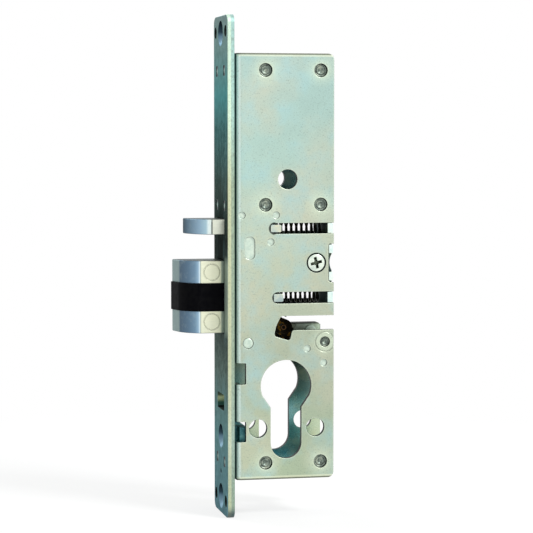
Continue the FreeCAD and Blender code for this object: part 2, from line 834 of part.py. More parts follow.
def spring_path(x0, x1, level, outer, wire, pitch):
    """Arc triples of a compression spring between two flat seats."""
    mean = (outer - wire) / 2
    lead = wire
    bend = wire
    closed = wire + closed_gap
    body = (x1 - x0) - 2 * (lead + bend)
    open_turns = (body - 2 * closed * closed_turns) / pitch
    quarters = 4 * closed_turns + round(open_turns * 4) + 4 * closed_turns
    open_quarters = quarters - 8 * closed_turns
    open_step = (body - 2 * closed * closed_turns) / open_quarters
    closed_steps = [closed / 4] * (4 * closed_turns)
    steps = closed_steps + [open_step] * open_quarters + closed_steps
    turn = math.pi / 2
    places = [x0 + lead + bend]
    for step in steps:
        places.append(places[-1] + step)

    def at(i):
        angle = turn * i
        around = vec(0, math.cos(angle) * mean, math.sin(angle) * mean)
        slope = 0.0
        if 0 < i < len(steps):
            slope = (steps[i - 1] + steps[i]) / 2 / turn
        along = vec(slope, -math.sin(angle) * mean, math.cos(angle) * mean).normalize()
        return vec(places[i], 0, level) + around, along

    arcs = []
    for i in range(len(steps)):
        p0, t0 = at(i)
        p1, t1 = at(i + 1)
        arcs += biarc(p0, t0, p1, t1)
    first, first_way = at(0)
    last, last_way = at(len(steps))
    lead_corner = first - first_way * bend
    tail_corner = last + last_way * bend
    start_bend = arc_middle(lead_corner - vec(bend, 0, 0), lead_corner, first)
    end_bend = arc_middle(last, tail_corner, tail_corner + vec(bend, 0, 0))
    start = vec(x0, 0, 0) + vec(0, start_bend[0].y, start_bend[0].z)
    end = vec(x1, 0, 0) + vec(0, end_bend[2].y, end_bend[2].z)
    return start, [start_bend] + arcs + [end_bend], end, (len(steps) / 4)


def spring_clearance(points, wire, skip):
    """Least distance from surface to surface between points that aren't neighbours on the tube."""
    least = far_out
    for i, p in enumerate(points):
        for q in points[i + skip:]:
            if abs(p.x - q.x) < 3 * wire:
                least = min(least, p.distanceToPoint(q) - wire)
    return least


def make_spring(name, x0, level, outer, wire, pitch):
    front = x0 + spring_seat_gap
    rear = spring_end_x - spring_seat_gap
    start, arcs, end, turns = spring_path(front, rear, level, outer, wire, pitch)
    edges = [Part.LineSegment(start, arcs[0][0]).toShape()]
    points = []
    tightest = far_out
    for p0, middle, p1, radius in arcs:
        edge = Part.Arc(p0, middle, p1).toShape()
        edges.append(edge)
        points += edge.discretize(spring_points + 1)[:-1]
        tightest = min(tightest, radius)
    edges.append(Part.LineSegment(arcs[-1][2], end).toShape())
    path = Part.Wire(edges)
    ring = Part.Wire(Part.makeCircle(wire / 2, start, vec(1, 0, 0)))
    tube = path.makePipeShell([ring], True, False)
    section = math.pi * wire * wire / 4
    gap = spring_clearance(points, wire, spring_skip)
    print(name, "turns", turns, "volume share", round(tube.Volume / (section * path.Length), 4),
          "least gap", round(gap, 3), "tightest", round(tightest, 3))
    write(name, tube)


make_spring("latch_spring", latch_spring_start, latch_spring_z, latch_spring_outer,
            latch_spring_wire, latch_spring_pitch)
make_spring("trigger_spring", trigger_spring_start, trigger_spring_z, trigger_spring_outer,
            trigger_spring_wire, trigger_spring_pitch)


# Retractor lever on its pivot post
def make_lever():
    side = lever_width / 2
    heel = pivot_z - pivot_boss_radius / 2
    bar = side_slab([(follower_x, lever_top, 0), (pivot_x + lever_rear, lever_top, lever_rear_round),
                     (pivot_x + lever_rear, pivot_z, 0), (pivot_x - lever_rear, heel, 0),
                     (follower_x + lever_neck_x, follower_z - lever_neck_drop, lever_neck_round),
                     (follower_x, follower_z - lever_end_radius, 0)], -side, side)
    eye = pin_y(follower_x, follower_z, lever_end_radius, side)
    tube = pin_y(pivot_x, pivot_z, pivot_boss_radius, inner - slide_clear)
    lever = bar.fuse([eye, tube])
    pivot_bore = pin_y(pivot_x, pivot_z, pivot_radius + running_clear, half)
    pin_hole = pin_y(follower_x, follower_z, follower_pin_radius, half)
    stud_hole = pin_y(stud_x, stud_z, stud_radius, half)
    mark = rod_y(follower_x + lever_mark_x, lever_top - lever_mark_drop, lever_mark_radius,
                 -side - cut_past, -side + lever_mark_depth)
    return lever.cut([pivot_bore, pin_hole, stud_hole, mark])


def make_follower():
    side = follower_width / 2
    cam = pin_y(follower_x, follower_z, follower_radius, side)
    nose_front = follower_x + follower_nose_side
    nose_rear = nose_front + follower_nose_width
    corner = follower_nose_corner
    root_x = follower_x - follower_nose_root[0]
    root_z = follower_z - follower_nose_root[1]
    nose = side_slab([(root_x, root_z, 0), (nose_front, follower_nose_z, corner),
                      (nose_rear, follower_nose_z, corner), (nose_rear, follower_z, 0)], -side, side)
    tips = follower_horn[1:3]
    horn = side_slab([(follower_x + dx, follower_z + dz, follower_horn_round if (dx, dz) in tips else 0)
                      for dx, dz in follower_horn + [(0.0, 0.0)]], -side, side)
    fork_half = lever_width / 2 + fork_clear
    reach = follower_radius * 2
    fork = side_slab([(follower_x - reach, follower_z + reach, 0), (follower_x - reach, fork_front_z, 0),
                      (follower_x + reach, fork_rear_z, 0), (follower_x + reach, follower_z + reach, 0)],
                     -fork_half, fork_half)
    pin = pin_y(follower_x, follower_z, follower_pin_radius, half)
    cup = rod_y(follower_x, follower_z, follower_pin_radius + follower_cup, side - follower_cup_depth, half)
    return cam.fuse([nose, horn]).cut([fork, pin, cup, mirrored(cup)])


write("retractor_lever", make_lever())
write("lever_follower", make_follower())
pin_reach = follower_width / 2 - follower_pin_sink
write("follower_pin", pin_y(follower_x, follower_z, follower_pin_radius, pin_reach))
stud_reach = lever_width / 2 + stud_proud
write("lever_stud", pin_y(stud_x, stud_z, stud_radius, stud_reach))


# Deadlock dog between the trigger and the latch
def make_dog():
    side = dog_width / 2
    boss = pin_y(dog_x, dog_z, dog_boss_radius, inner - press_depth - slide_clear)
    tip_low = dog_tip_z - dog_tip_drop
    tip_rear = dog_tip_x + dog_tip_width
    corner = dog_corner
    arm = side_slab([(dog_x, dog_z + dog_arm_upper, 0), (dog_tip_x, dog_tip_z + dog_arm, corner),
                     (dog_tip_x, tip_low, dog_tip_corner), (tip_rear, tip_low, dog_tip_corner),
                     (dog_x, dog_z - dog_arm_lower, 0)], -side, side)
    tail_front = dog_tail_x - dog_tail_half
    tail_rear = dog_tail_x + dog_tail_half
    tail = side_slab([(dog_x - dog_tail_half, dog_z, 0), (tail_front, dog_tail_z, corner),
                      (tail_rear, dog_tail_z, corner), (dog_x + dog_arm_lower, dog_z, 0)], -side, side)
    bore = pin_y(dog_x, dog_z, dog_pin_radius + running_clear, half)
    return boss.fuse([arm, tail]).cut(bore)


write("deadlock_dog", make_dog())
write("dog_pivot_pin", pin_y(dog_x, dog_z, dog_pin_radius, inner + dog_pin_seat))
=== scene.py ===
import math

import bpy
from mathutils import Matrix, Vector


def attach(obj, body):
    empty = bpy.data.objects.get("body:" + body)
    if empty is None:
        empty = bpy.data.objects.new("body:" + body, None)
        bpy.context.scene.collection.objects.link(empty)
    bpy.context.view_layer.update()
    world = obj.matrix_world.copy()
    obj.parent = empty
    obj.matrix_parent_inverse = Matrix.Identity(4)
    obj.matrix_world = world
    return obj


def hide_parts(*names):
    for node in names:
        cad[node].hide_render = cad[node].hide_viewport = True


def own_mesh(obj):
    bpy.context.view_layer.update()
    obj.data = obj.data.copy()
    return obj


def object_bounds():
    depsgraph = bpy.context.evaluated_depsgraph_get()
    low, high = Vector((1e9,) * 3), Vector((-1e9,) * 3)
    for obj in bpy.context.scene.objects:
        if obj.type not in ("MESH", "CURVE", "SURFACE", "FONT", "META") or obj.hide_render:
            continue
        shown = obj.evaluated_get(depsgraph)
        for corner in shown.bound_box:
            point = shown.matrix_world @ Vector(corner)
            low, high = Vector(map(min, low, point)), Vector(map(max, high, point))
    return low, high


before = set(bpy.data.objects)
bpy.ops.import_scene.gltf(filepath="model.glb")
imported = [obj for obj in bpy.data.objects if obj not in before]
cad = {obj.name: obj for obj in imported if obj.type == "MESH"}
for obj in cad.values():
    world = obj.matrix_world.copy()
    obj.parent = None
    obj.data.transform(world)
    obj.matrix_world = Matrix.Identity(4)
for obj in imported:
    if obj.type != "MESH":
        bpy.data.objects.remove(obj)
cad_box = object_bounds()

# Camera at the photograph's angle: a long lens a little above the middle of the end plate,
# turned so that the near case plate and the front face of the end plate both show.
camera_data = bpy.data.cameras.new("camera")
camera_data.lens = 138.21
camera_data.sensor_width = 36.0
camera = bpy.data.objects.new("camera", camera_data)
camera.location = (-0.13496, -0.70413, 0.04742)
camera.rotation_euler = (math.radians(90.0 - 3.797), 0.0, math.radians(-11.938))
bpy.context.scene.collection.objects.link(camera)
bpy.context.scene.camera = camera
bpy.context.scene.view_settings.view_transform = "Standard"


# Set: a plain white floor under the foot of the end plate, an even pale sky and two soft
# lamps. The floor and the sky look white to the eye and in the metal. The floor keeps the
# contact shadow near the lock and fades to pure white away from it.
def reckoned(tree, operation, first, second=0.0):
    """The result of one sum, such as MULTIPLY, on numbers or values from the tree."""
    step = tree.nodes.new("ShaderNodeMath")
    step.operation = operation
    for source, socket in zip((first, second), step.inputs):
        if isinstance(source, float):
            socket.default_value = source
        else:
            tree.links.new(source, socket)
    return step.outputs[0]


def spread(tree, value, low, high, out_low=0.0, out_high=1.0):
    """Value taken from low..high to out_low..out_high and held at those ends."""
    ranged = tree.nodes.new("ShaderNodeMapRange")
    ranged.inputs["From Min"].default_value = low
    ranged.inputs["From Max"].default_value = high
    ranged.inputs["To Min"].default_value = out_low
    ranged.inputs["To Max"].default_value = out_high
    tree.links.new(value, ranged.inputs["Value"])
    return ranged.outputs["Result"]


def shown_white(tree):
    """One where a ray comes from the eye or off a glossy or clear surface, otherwise zero."""
    path = tree.nodes.new("ShaderNodeLightPath")
    seen = path.outputs["Is Camera Ray"]
    for kind in ("Is Glossy Ray", "Is Transmission Ray"):
        seen = reckoned(tree, "MAXIMUM", seen, path.outputs[kind])
    return seen


def grey(value):
    """An even grey as the shader's linear colour, 1 being white."""
    return (value, value, value, 1.0)


sky_strength = 0.58
world = bpy.data.worlds.new("studio")
bpy.context.scene.world = world
world.use_nodes = True
sky_tree = world.node_tree
sky_light = sky_tree.nodes["Background"]
sky_light.inputs["Color"].default_value = (0.97, 1.0, 0.99, 1.0)
sky_light.inputs["Strength"].default_value = sky_strength
sky_white = sky_tree.nodes.new("ShaderNodeBackground")
sky_white.inputs["Color"].default_value = grey(1.0)
sky_mix = sky_tree.nodes.new("ShaderNodeMixShader")
sky_tree.links.new(shown_white(sky_tree), sky_mix.inputs["Fac"])
sky_tree.links.new(sky_light.outputs[0], sky_mix.inputs[1])
sky_tree.links.new(sky_white.outputs[0], sky_mix.inputs[2])
sky_tree.links.new(sky_mix.outputs[0], sky_tree.nodes["World Output"].inputs["Surface"])

floor_white = bpy.data.materials.new("floor_white")
floor_white.use_nodes = True
floor_tree = floor_white.node_tree
floor_tree.nodes.remove(floor_tree.nodes["Principled BSDF"])
floor_matt = floor_tree.nodes.new("ShaderNodeBsdfDiffuse")
floor_matt.inputs["Color"].default_value = grey(0.9)
floor_glow = floor_tree.nodes.new("ShaderNodeEmission")
floor_place = floor_tree.nodes.new("ShaderNodeTexCoord")
floor_reach = floor_tree.nodes.new("ShaderNodeVectorMath")
floor_reach.operation = "LENGTH"
floor_tree.links.new(floor_place.outputs["Object"], floor_reach.inputs[0])
shadow_near, shadow_far = 0.1, 0.26
floor_fade = spread(floor_tree, floor_reach.outputs["Value"], shadow_near, shadow_far, 0.76, 1.0)
floor_share = reckoned(floor_tree, "MULTIPLY", shown_white(floor_tree), floor_fade)
floor_mix = floor_tree.nodes.new("ShaderNodeMixShader")
floor_tree.links.new(floor_share, floor_mix.inputs["Fac"])
floor_tree.links.new(floor_matt.outputs[0], floor_mix.inputs[1])
floor_tree.links.new(floor_glow.outputs[0], floor_mix.inputs[2])
floor_tree.links.new(floor_mix.outputs[0], floor_tree.nodes["Material Output"].inputs["Surface"])

bpy.ops.object.select_all(action="DESELECT")
floor_size = 12.0
bpy.ops.mesh.primitive_plane_add(size=floor_size, location=(0.0, 0.0, cad_box[0][2]))
floor = bpy.context.object
floor.name = "floor"
floor.data.materials.append(floor_white)


def soft_lamp(name, place, size, watts):
    """A square lamp that points at the middle of the lock."""
    lamp_data = bpy.data.lights.new(name, "AREA")
    lamp_data.size = size
    lamp_data.energy = watts
    lamp = bpy.data.objects.new(name, lamp_data)
    lamp.location = place
    bpy.context.scene.collection.objects.link(lamp)
    direction = lamp.location * -1.0
    lamp.rotation_euler = direction.to_track_quat("-Z", "Y").to_euler()


soft_lamp("lamp_right", (0.7, -0.75, 0.85), size=0.35, watts=15.0)
soft_lamp("lamp_back", (-0.5, 0.9, 0.8), size=0.7, watts=7.0)


# End plate: satin stainless strip with countersunk holes, pierced for the bolts and the
# tenons of the case. Its face has a painted reflection of the room, darkest a little above
# the middle and lighter towards top and bottom; its sheared edges are pale.
mm = 0.001
plate_reach, plate_rise, plate_corner = 0.0127, 0.0873, 0.003


def coating(name, metallic, rough, tint=None):
    """A new material, with its node tree and its shader."""
    material = bpy.data.materials.new(name)
    material.use_nodes = True
    tree = material.node_tree
    shader = tree.nodes["Principled BSDF"]
    shader.inputs["Metallic"].default_value = metallic
    shader.inputs["Roughness"].default_value = rough
    if tint:
        shader.inputs["Specular Tint"].default_value = (*tint, 1.0)
    return material, tree, shader


def srgb(red, green, blue):
    """A colour as it looks on screen, 0 to 255, as the shader's linear values."""
    values = []
    for value in (red, green, blue):
        value = value / 255.0
        values.append(value / 12.92 if value <= 0.04045 else ((value + 0.055) / 1.055) ** 2.4)
    return (*values, 1.0)


def clouds(tree, size_mm, detail=2.0, stretch=(1.0, 1.0, 1.0), seed=0.0):
    """Noise with features about size_mm across, drawn out by stretch and shifted by the seed."""
    coordinates = tree.nodes.new("ShaderNodeTexCoord")
    mapping = tree.nodes.new("ShaderNodeMapping")
    mapping.inputs["Scale"].default_value = [1.0 / part for part in stretch]
    mapping.inputs["Location"].default_value = (seed, seed * 0.37, seed * 0.71)
    noise = tree.nodes.new("ShaderNodeTexNoise")
    noise.inputs["Scale"].default_value = 1000.0 / size_mm
    noise.inputs["Detail"].default_value = detail
    noise.inputs["Roughness"].default_value = 0.6
    tree.links.new(coordinates.outputs["Object"], mapping.inputs["Vector"])
    tree.links.new(mapping.outputs["Vector"], noise.inputs["Vector"])
    return noise.outputs["Fac"]


def along(tree, axis):
    """The piece's own coordinate along an axis, in metres."""
    coordinates = tree.nodes.new("ShaderNodeTexCoord")
    parts = tree.nodes.new("ShaderNodeSeparateXYZ")
    tree.links.new(coordinates.outputs["Object"], parts.inputs["Vector"])
    return parts.outputs[axis]


def shades(tree, value, stops):
    """Colours along a value, each stop being a place from 0 to 1 and a colour."""
    ramp = tree.nodes.new("ShaderNodeValToRGB")
    elements = ramp.color_ramp.elements
    elements[0].position, elements[0].color = stops[0]
    elements[1].position, elements[1].color = stops[-1]
    for place, colour in stops[1:-1]:
        elements.new(place).color = colour
    tree.links.new(value, ramp.inputs["Fac"])
    return ramp.outputs["Color"]


def blended(tree, share, under, over, kind="MIX"):
    """Two colours mixed by a share, which may be a number or a value from the tree."""
    mix = tree.nodes.new("ShaderNodeMix")
    mix.data_type = "RGBA"
    mix.blend_type = kind
    mix.clamp_result = True
    factor, first_colour, second_colour = mix.inputs[0], mix.inputs[6], mix.inputs[7]
    for source, socket in ((share, factor), (under, first_colour), (over, second_colour)):
        if isinstance(source, (float, tuple)):
            socket.default_value = source
        else:
            tree.links.new(source, socket)
    mixed_colour = mix.outputs[2]
    return mixed_colour


def times(tree, first, second):
    """The product of two values."""
    return reckoned(tree, "MULTIPLY", first, second)


def edge_band(tree, radius_mm, soft=0.03, hard=0.25):
    """One along sharp edges, and the rounded normal; finishes lighten or darken their edges with
    it.
    """
    rounded = tree.nodes.new("ShaderNodeBevel")
    rounded.samples = 6
    rounded.inputs["Radius"].default_value = radius_mm * mm
    geometry = tree.nodes.new("ShaderNodeNewGeometry")
    product = tree.nodes.new("ShaderNodeVectorMath")
    product.operation = "DOT_PRODUCT"
    tree.links.new(rounded.outputs["Normal"], product.inputs[0])
    tree.links.new(geometry.outputs["Normal"], product.inputs[1])
    edge = spread(tree, product.outputs["Value"], 1.0 - soft, 1.0 - hard)
    return edge, rounded.outputs["Normal"]


def paint(tree, shader, tone, roughness):
    """The tone and the roughness of a surface."""
    tree.links.new(tone, shader.inputs["Base Color"])
    tree.links.new(roughness, shader.inputs["Roughness"])


def relief(tree, shader, height, depth_mm, under=None):
    """Small hollows and ridges of that depth in the surface, over the rounded normal."""
    bump = tree.nodes.new("ShaderNodeBump")
    bump.inputs["Strength"].default_value = 1.0
    bump.inputs["Distance"].default_value = depth_mm * mm
    tree.links.new(height, bump.inputs["Height"])
    if under is not None:
        tree.links.new(under, bump.inputs["Normal"])
    tree.links.new(bump.outputs["Normal"], shader.inputs["Normal"])


def finished_copy(node, name, body, edge_mm):
    """A copy of a solid with its facets joined and its sharp edges broken by a small bevel."""
    mesh = cad[node].data.copy()
    mesh.name = name
    mesh.materials.clear()
    if "custom_normal" in mesh.attributes:
        mesh.attributes.remove(mesh.attributes["custom_normal"])
    piece = bpy.data.objects.new(name, mesh)
    bpy.context.scene.collection.objects.link(piece)
    bpy.ops.object.select_all(action="DESELECT")
    bpy.context.view_layer.objects.active = piece
    piece.select_set(True)
    bpy.ops.object.mode_set(mode="EDIT")
    bpy.ops.mesh.select_all(action="SELECT")
    same_point, same_plane = 0.000002, math.radians(0.6)
    sharp_angle, smooth_angle = math.radians(35.0), math.radians(32.0)
    bpy.ops.mesh.remove_doubles(threshold=same_point)
    bpy.ops.mesh.dissolve_limited(angle_limit=same_plane)
    bpy.ops.object.mode_set(mode="OBJECT")
    if edge_mm:
        bevel = piece.modifiers.new("edges", "BEVEL")
        bevel.width = edge_mm * mm
        bevel.segments = 2
        bevel.limit_method = "ANGLE"
        bevel.angle_limit = sharp_angle
        bevel.use_clamp_overlap = True
        bevel.miter_outer = "MITER_ARC"
        bpy.ops.object.modifier_apply(modifier="edges")
    bpy.ops.object.shade_smooth_by_angle(angle=smooth_angle)
    weighting = piece.modifiers.new("weighting", "WEIGHTED_NORMAL")
    weighting.keep_sharp = True
    bpy.ops.object.modifier_apply(modifier="weighting")
    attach(piece, body)
    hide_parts(node)
    return piece


def facing(tree, axis):
    """The surface normal's part along an axis."""
    geometry = tree.nodes.new("ShaderNodeNewGeometry")
    parts = tree.nodes.new("ShaderNodeSeparateXYZ")
    tree.links.new(geometry.outputs["Normal"], parts.inputs["Vector"])
    return parts.outputs[axis]


def size_of(tree, value):
    """The value without its sign."""
    return reckoned(tree, "ABSOLUTE", value)


plate_face, tree, shader = coating("end_plate_face", metallic=0.35, rough=0.46,
                                   tint=(0.1, 0.12, 0.12))
shader.inputs["Specular IOR Level"].default_value = 0.0
height = spread(tree, along(tree, "Z"), -plate_rise, plate_rise)
# Painted reflection of the room: the tone runs up the face, darkest a little above the middle.
face_tone = shades(tree, height, [
    (0.0, srgb(100, 136, 146)),
    (0.16, srgb(100, 138, 140)),
    (0.29, srgb(96, 112, 106)),
    (0.38, srgb(76, 84, 80)),
    (0.55, srgb(34, 38, 34)),
    (0.66, srgb(60, 76, 70)),
    (0.78, srgb(70, 116, 116)),
    (0.84, srgb(86, 150, 152)),
    (0.93, srgb(120, 152, 150)),
    (1.0, srgb(134, 154, 152)),
])
brushed = clouds(tree, 0.22, detail=3.0, stretch=(1.0, 1.0, 40.0))
mottle = clouds(tree, 2.6, detail=4.0)
sheen = clouds(tree, 9.0, detail=2.0, stretch=(1.0, 1.0, 2.5), seed=2.2)
scratched = spread(tree, brushed, 0.35, 0.75, 0.0, 0.12)
face_tone = blended(tree, scratched, face_tone, srgb(190, 215, 212))
face_tone = blended(tree, spread(tree, sheen, 0.5, 0.75, 0.0, 0.3), face_tone, srgb(120, 158, 162))
stained = spread(tree, mottle, 0.4, 0.68, 0.0, 0.4)
face_tone = blended(tree, stained, face_tone, srgb(140, 150, 146), "MULTIPLY")
level = along(tree, "Z")
# Painted reflection: a lighter patch on the near side of the face, beside the latch bolt.
latch_side_reflection = times(tree, spread(tree, level, -0.0248, -0.0212),
                     spread(tree, level, 0.0045, 0.0008))
latch_side_reflection = times(tree, latch_side_reflection, spread(tree, along(tree, "Y"), -0.0056, -0.0086))
face_tone = blended(tree, times(tree, latch_side_reflection, 0.8), face_tone, srgb(160, 176, 160))
off_middle = size_of(tree, along(tree, "Y"))
# Painted light and shade in the countersinks: pale where the cone faces up, dark where it faces
# down.
in_dish = times(tree, spread(tree, facing(tree, "X"), -0.95, -0.85),
                spread(tree, off_middle, 0.0052, 0.0048))
dish_light_and_shade = shades(tree, spread(tree, facing(tree, "Z"), -0.6, 0.6), [
    (0.0, srgb(24, 34, 40)),
    (0.4, srgb(50, 70, 80)),
    (0.6, srgb(98, 128, 146)),
    (1.0, srgb(140, 172, 190)),
])
face_tone = blended(tree, in_dish, face_tone, dish_light_and_shade)
edge, rounded = edge_band(tree, 0.35)
face_tone = blended(tree, times(tree, edge, 0.4), face_tone, srgb(150, 176, 170))
paint(tree, shader, face_tone, spread(tree, brushed, 0.2, 0.8, 0.36, 0.54))
relief(tree, shader, brushed, 0.004, rounded)

plate_edge, tree, shader = coating("end_plate_edge", metallic=0.6, rough=0.45)
shear = clouds(tree, 0.45, detail=4.0, stretch=(1.0, 1.0, 2.0))
fleck = clouds(tree, 0.7, detail=3.0, stretch=(1.0, 1.0, 1.5), seed=3.1)
rise = spread(tree, along(tree, "Z"), -plate_rise, plate_rise)
cream = shades(tree, rise, [
    (0.0, srgb(84, 98, 98)),
    (0.012, srgb(112, 124, 114)),
    (0.025, srgb(184, 194, 162)),
    (0.08, srgb(182, 192, 164)),
    (0.15, srgb(200, 209, 184)),
    (0.3, srgb(196, 201, 168)),
    (0.66, srgb(196, 202, 166)),
    (0.8, srgb(212, 234, 210)),
    (1.0, srgb(204, 228, 210)),
])
across = spread(tree, along(tree, "X"), -0.0025, 0.0)
sheared = shades(tree, across, [
    (0.0, grey(1.0)),
    (0.45, grey(1.0)),
    (0.6, (0.6, 0.72, 0.82, 1.0)),
    (0.86, (0.64, 0.78, 0.88, 1.0)),
    (1.0, (0.36, 0.5, 0.58, 1.0)),
])
edge_tone = blended(tree, 1.0, cream, sheared, "MULTIPLY")
ridged = spread(tree, shear, 0.42, 0.7, 0.0, 0.35)
edge_tone = blended(tree, ridged, edge_tone, srgb(150, 165, 150), "MULTIPLY")
torn = times(tree, spread(tree, fleck, 0.52, 0.62),
             spread(tree, along(tree, "X"), -0.0014, -0.0009))
edge_tone = blended(tree, times(tree, torn, 0.45), edge_tone, srgb(120, 128, 116))
paint(tree, shader, edge_tone, spread(tree, shear, 0.2, 0.8, 0.35, 0.6))
relief(tree, shader, shear, 0.02)

# Walls of holes and cuts: painted dark as the shade inside them, with a torn, sheared texture.
shaded_cut_wall, tree, shader = coating("shaded_cut_wall", metallic=0.5, rough=0.5)
shader.inputs["Specular IOR Level"].default_value = 0.15
tear = clouds(tree, 0.5, detail=4.0)
wall_tone = shades(tree, tear, [
    (0.35, srgb(12, 18, 18)), (0.6, srgb(28, 38, 35)), (0.75, srgb(72, 86, 74))])
paint(tree, shader, wall_tone, spread(tree, tear, 0.3, 0.7, 0.42, 0.6))
relief(tree, shader, tear, 0.02)

# Walls of the window in the end plate: painted light and shade in bands down the wall, with a pale
# painted highlight across its middle.
window_wall, tree, shader = coating("window_wall", metallic=0.6, rough=0.42)
tear = clouds(tree, 0.4, detail=3.0, seed=1.3)
wall_tone = shades(tree, spread(tree, along(tree, "Z"), -0.0504, -0.0448), [
    (0.0, srgb(40, 78, 72)),
    (0.3, srgb(58, 104, 88)),
    (0.45, srgb(168, 184, 140)),
    (0.62, srgb(214, 222, 172)),
    (0.76, srgb(96, 112, 84)),
    (1.0, srgb(38, 50, 44)),
])
wall_tone = blended(tree, spread(tree, tear, 0.45, 0.7, 0.0, 0.4), wall_tone, srgb(40, 60, 54))
paint(tree, shader, wall_tone, spread(tree, tear, 0.3, 0.7, 0.36, 0.5))
relief(tree, shader, tear, 0.015)

end_plate = finished_copy("end_plate", "end_plate_strip", "case", edge_mm=0.12)
plate_coats = (plate_face, plate_edge, shaded_cut_wall, window_wall)
for material in plate_coats:
    end_plate.data.materials.append(material)
facing_front, corner_slack = 0.6, 0.0003
window_z, window_half, window_side_low, window_side_high = -0.0476, 0.0029, 0.0058, 0.0064
for polygon in end_plate.data.polygons:
    out_y, out_z = abs(polygon.center[1]), abs(polygon.center[2])
    round_y = max(0.0, out_y - plate_reach + plate_corner)
    round_z = max(0.0, out_z - plate_rise + plate_corner)
    in_corner = math.hypot(round_y, round_z) > plate_corner - corner_slack
    in_window = (abs(polygon.normal[1]) > 0.9 and window_side_low < out_y < window_side_high
                 and abs(polygon.center[2] - window_z) < window_half)
    if polygon.normal[0] < -facing_front:
        coat = plate_face
    elif in_corner or polygon.normal[0] > facing_front:
        coat = plate_edge
    elif in_window:
        coat = window_wall
    else:
        coat = shaded_cut_wall
    polygon.material_index = plate_coats.index(coat)


# Case halves: two shells pressed from zinc-plated steel sheet, with sunk pads round the
# rivets, small pips and a rib. The plating is a mottled pale green grey with fine specks.
def nearest(tree, places_mm):
    """Distance in metres, seen from the side, to the nearest of some places given as x and z."""
    coordinates = tree.nodes.new("ShaderNodeTexCoord")
    flat = tree.nodes.new("ShaderNodeVectorMath")
    flat.operation = "MULTIPLY"
    flat.inputs[1].default_value = (1.0, 0.0, 1.0)
    tree.links.new(coordinates.outputs["Object"], flat.inputs[0])
    least = None
    for x, z in places_mm:
        distance = tree.nodes.new("ShaderNodeVectorMath")
        distance.operation = "DISTANCE"
        distance.inputs[1].default_value = (x * mm, 0.0, z * mm)
        tree.links.new(flat.outputs[0], distance.inputs[0])
        away = distance.outputs["Value"]
        least = away if least is None else reckoned(tree, "MINIMUM", least, away)
    return least


front_post_x, rear_post_x = 11.3, 30.9
post_rows = {"top": 68.3, "middle": 21.8, "bottom": -68.3}
pivot_x, pivot_z = 32.45, -26.2
screw_x, screw_z = 29.35, 1.47

zinc, tree, shader = coating("zinc_plating", metallic=0.6, rough=0.42)
drift = clouds(tree, 24.0, detail=3.0, seed=0.3)
patch = clouds(tree, 9.0, detail=3.0, seed=1.7)
specks = clouds(tree, 0.5, detail=2.0)
grain = clouds(tree, 0.3, detail=4.0)
rise = spread(tree, along(tree, "Z"), -0.075, 0.075)
plating = shades(tree, rise, [
    (0.0, srgb(178, 194, 164)),
    (0.3, srgb(173, 184, 161)),
    (0.55, srgb(196, 206, 184)),
    (0.75, srgb(180, 207, 196)),
    (1.0, srgb(172, 203, 198)),
])
plating = blended(tree, spread(tree, drift, 0.4, 0.68, 0.0, 0.62), plating, srgb(208, 206, 182))
plating = blended(tree, spread(tree, patch, 0.46, 0.74, 0.0, 0.66), plating, srgb(166, 204, 206))
lean = spread(tree, along(tree, "X"), 0.002, 0.034)
plating = blended(tree, times(tree, lean, 0.16), plating, srgb(128, 140, 128))
# Painted highlight along the rounded front bend of the shell.
bend_highlight = spread(tree, along(tree, "X"), 0.0027, 0.0018)
plating = blended(tree, bend_highlight, plating, srgb(238, 255, 250))
rivets = [(x, z) for z in post_rows.values() for x in (front_post_x, rear_post_x)]
rivets.append((pivot_x, pivot_z))
# Painted highlight in a ring round each staked post and the pivot post.
pad_highlight = shades(tree, spread(tree, nearest(tree, rivets), 0.0, 0.008), [
    (0.0, grey(0.0)),
    (0.31, grey(0.9)),
    (0.40, grey(0.55)),
    (0.52, grey(0.3)),
    (0.8, grey(0.0)),
])
plating = blended(tree, times(tree, pad_highlight, 0.7), plating, srgb(214, 228, 204))
plating = blended(tree, spread(tree, specks, 0.58, 0.72, 0.0, 0.5), plating, srgb(112, 130, 124))
grained = spread(tree, grain, 0.35, 0.7, 0.0, 0.3)
plating = blended(tree, grained, plating, srgb(150, 165, 158), "MULTIPLY")
# Painted highlight along the edges of the shell and the rims of its holes.
edge, _ = edge_band(tree, 0.7, soft=0.005, hard=0.12)
plating = blended(tree, times(tree, edge, 0.55), plating, srgb(226, 236, 214))
# Painted highlight in a pale band just inside the top and bottom edges, and a painted shade line
# along those edges.
off_level = size_of(tree, along(tree, "Z"))
rim_highlight = times(tree, spread(tree, off_level, 0.0728, 0.0732), 0.5)
plating = blended(tree, rim_highlight, plating, srgb(236, 238, 208))
rim_shade_line = spread(tree, off_level, 0.0734, 0.0738)
plating = blended(tree, times(tree, rim_shade_line, 0.85), plating, srgb(64, 68, 52))
# Painted shade: thin dark lines along the sharp edges and hole rims.
sharp, tight = edge_band(tree, 0.36, soft=0.06, hard=0.3)
plating = blended(tree, times(tree, sharp, 0.88), plating, srgb(44, 58, 54))
groove = spread(tree, nearest(tree, [(screw_x, screw_z)]), 0.0036, 0.00345)
groove = times(tree, groove, spread(tree, along(tree, "Y"), 0.0, -0.001))
plating = blended(tree, groove, plating, srgb(50, 76, 84))
# Painted shade in a dark ring round the front ends of the bolt slots.
slot_ends = [(14.6, 13.55), (15.8, -10.6)]
slot_end_shade = times(tree, spread(tree, nearest(tree, slot_ends), 0.00235, 0.0021),
                 spread(tree, along(tree, "X"), 0.0152, 0.0142))
plating = blended(tree, times(tree, slot_end_shade, 0.9), plating, srgb(30, 38, 36))
# Painted shade along the front edge, in the gap against the end plate.
gap_shade = spread(tree, along(tree, "X"), 0.0013, 0.001)
plating = blended(tree, gap_shade, plating, srgb(48, 72, 76))
paint(tree, shader, plating, spread(tree, patch, 0.3, 0.7, 0.36, 0.52))
relief(tree, shader, grain, 0.012, tight)
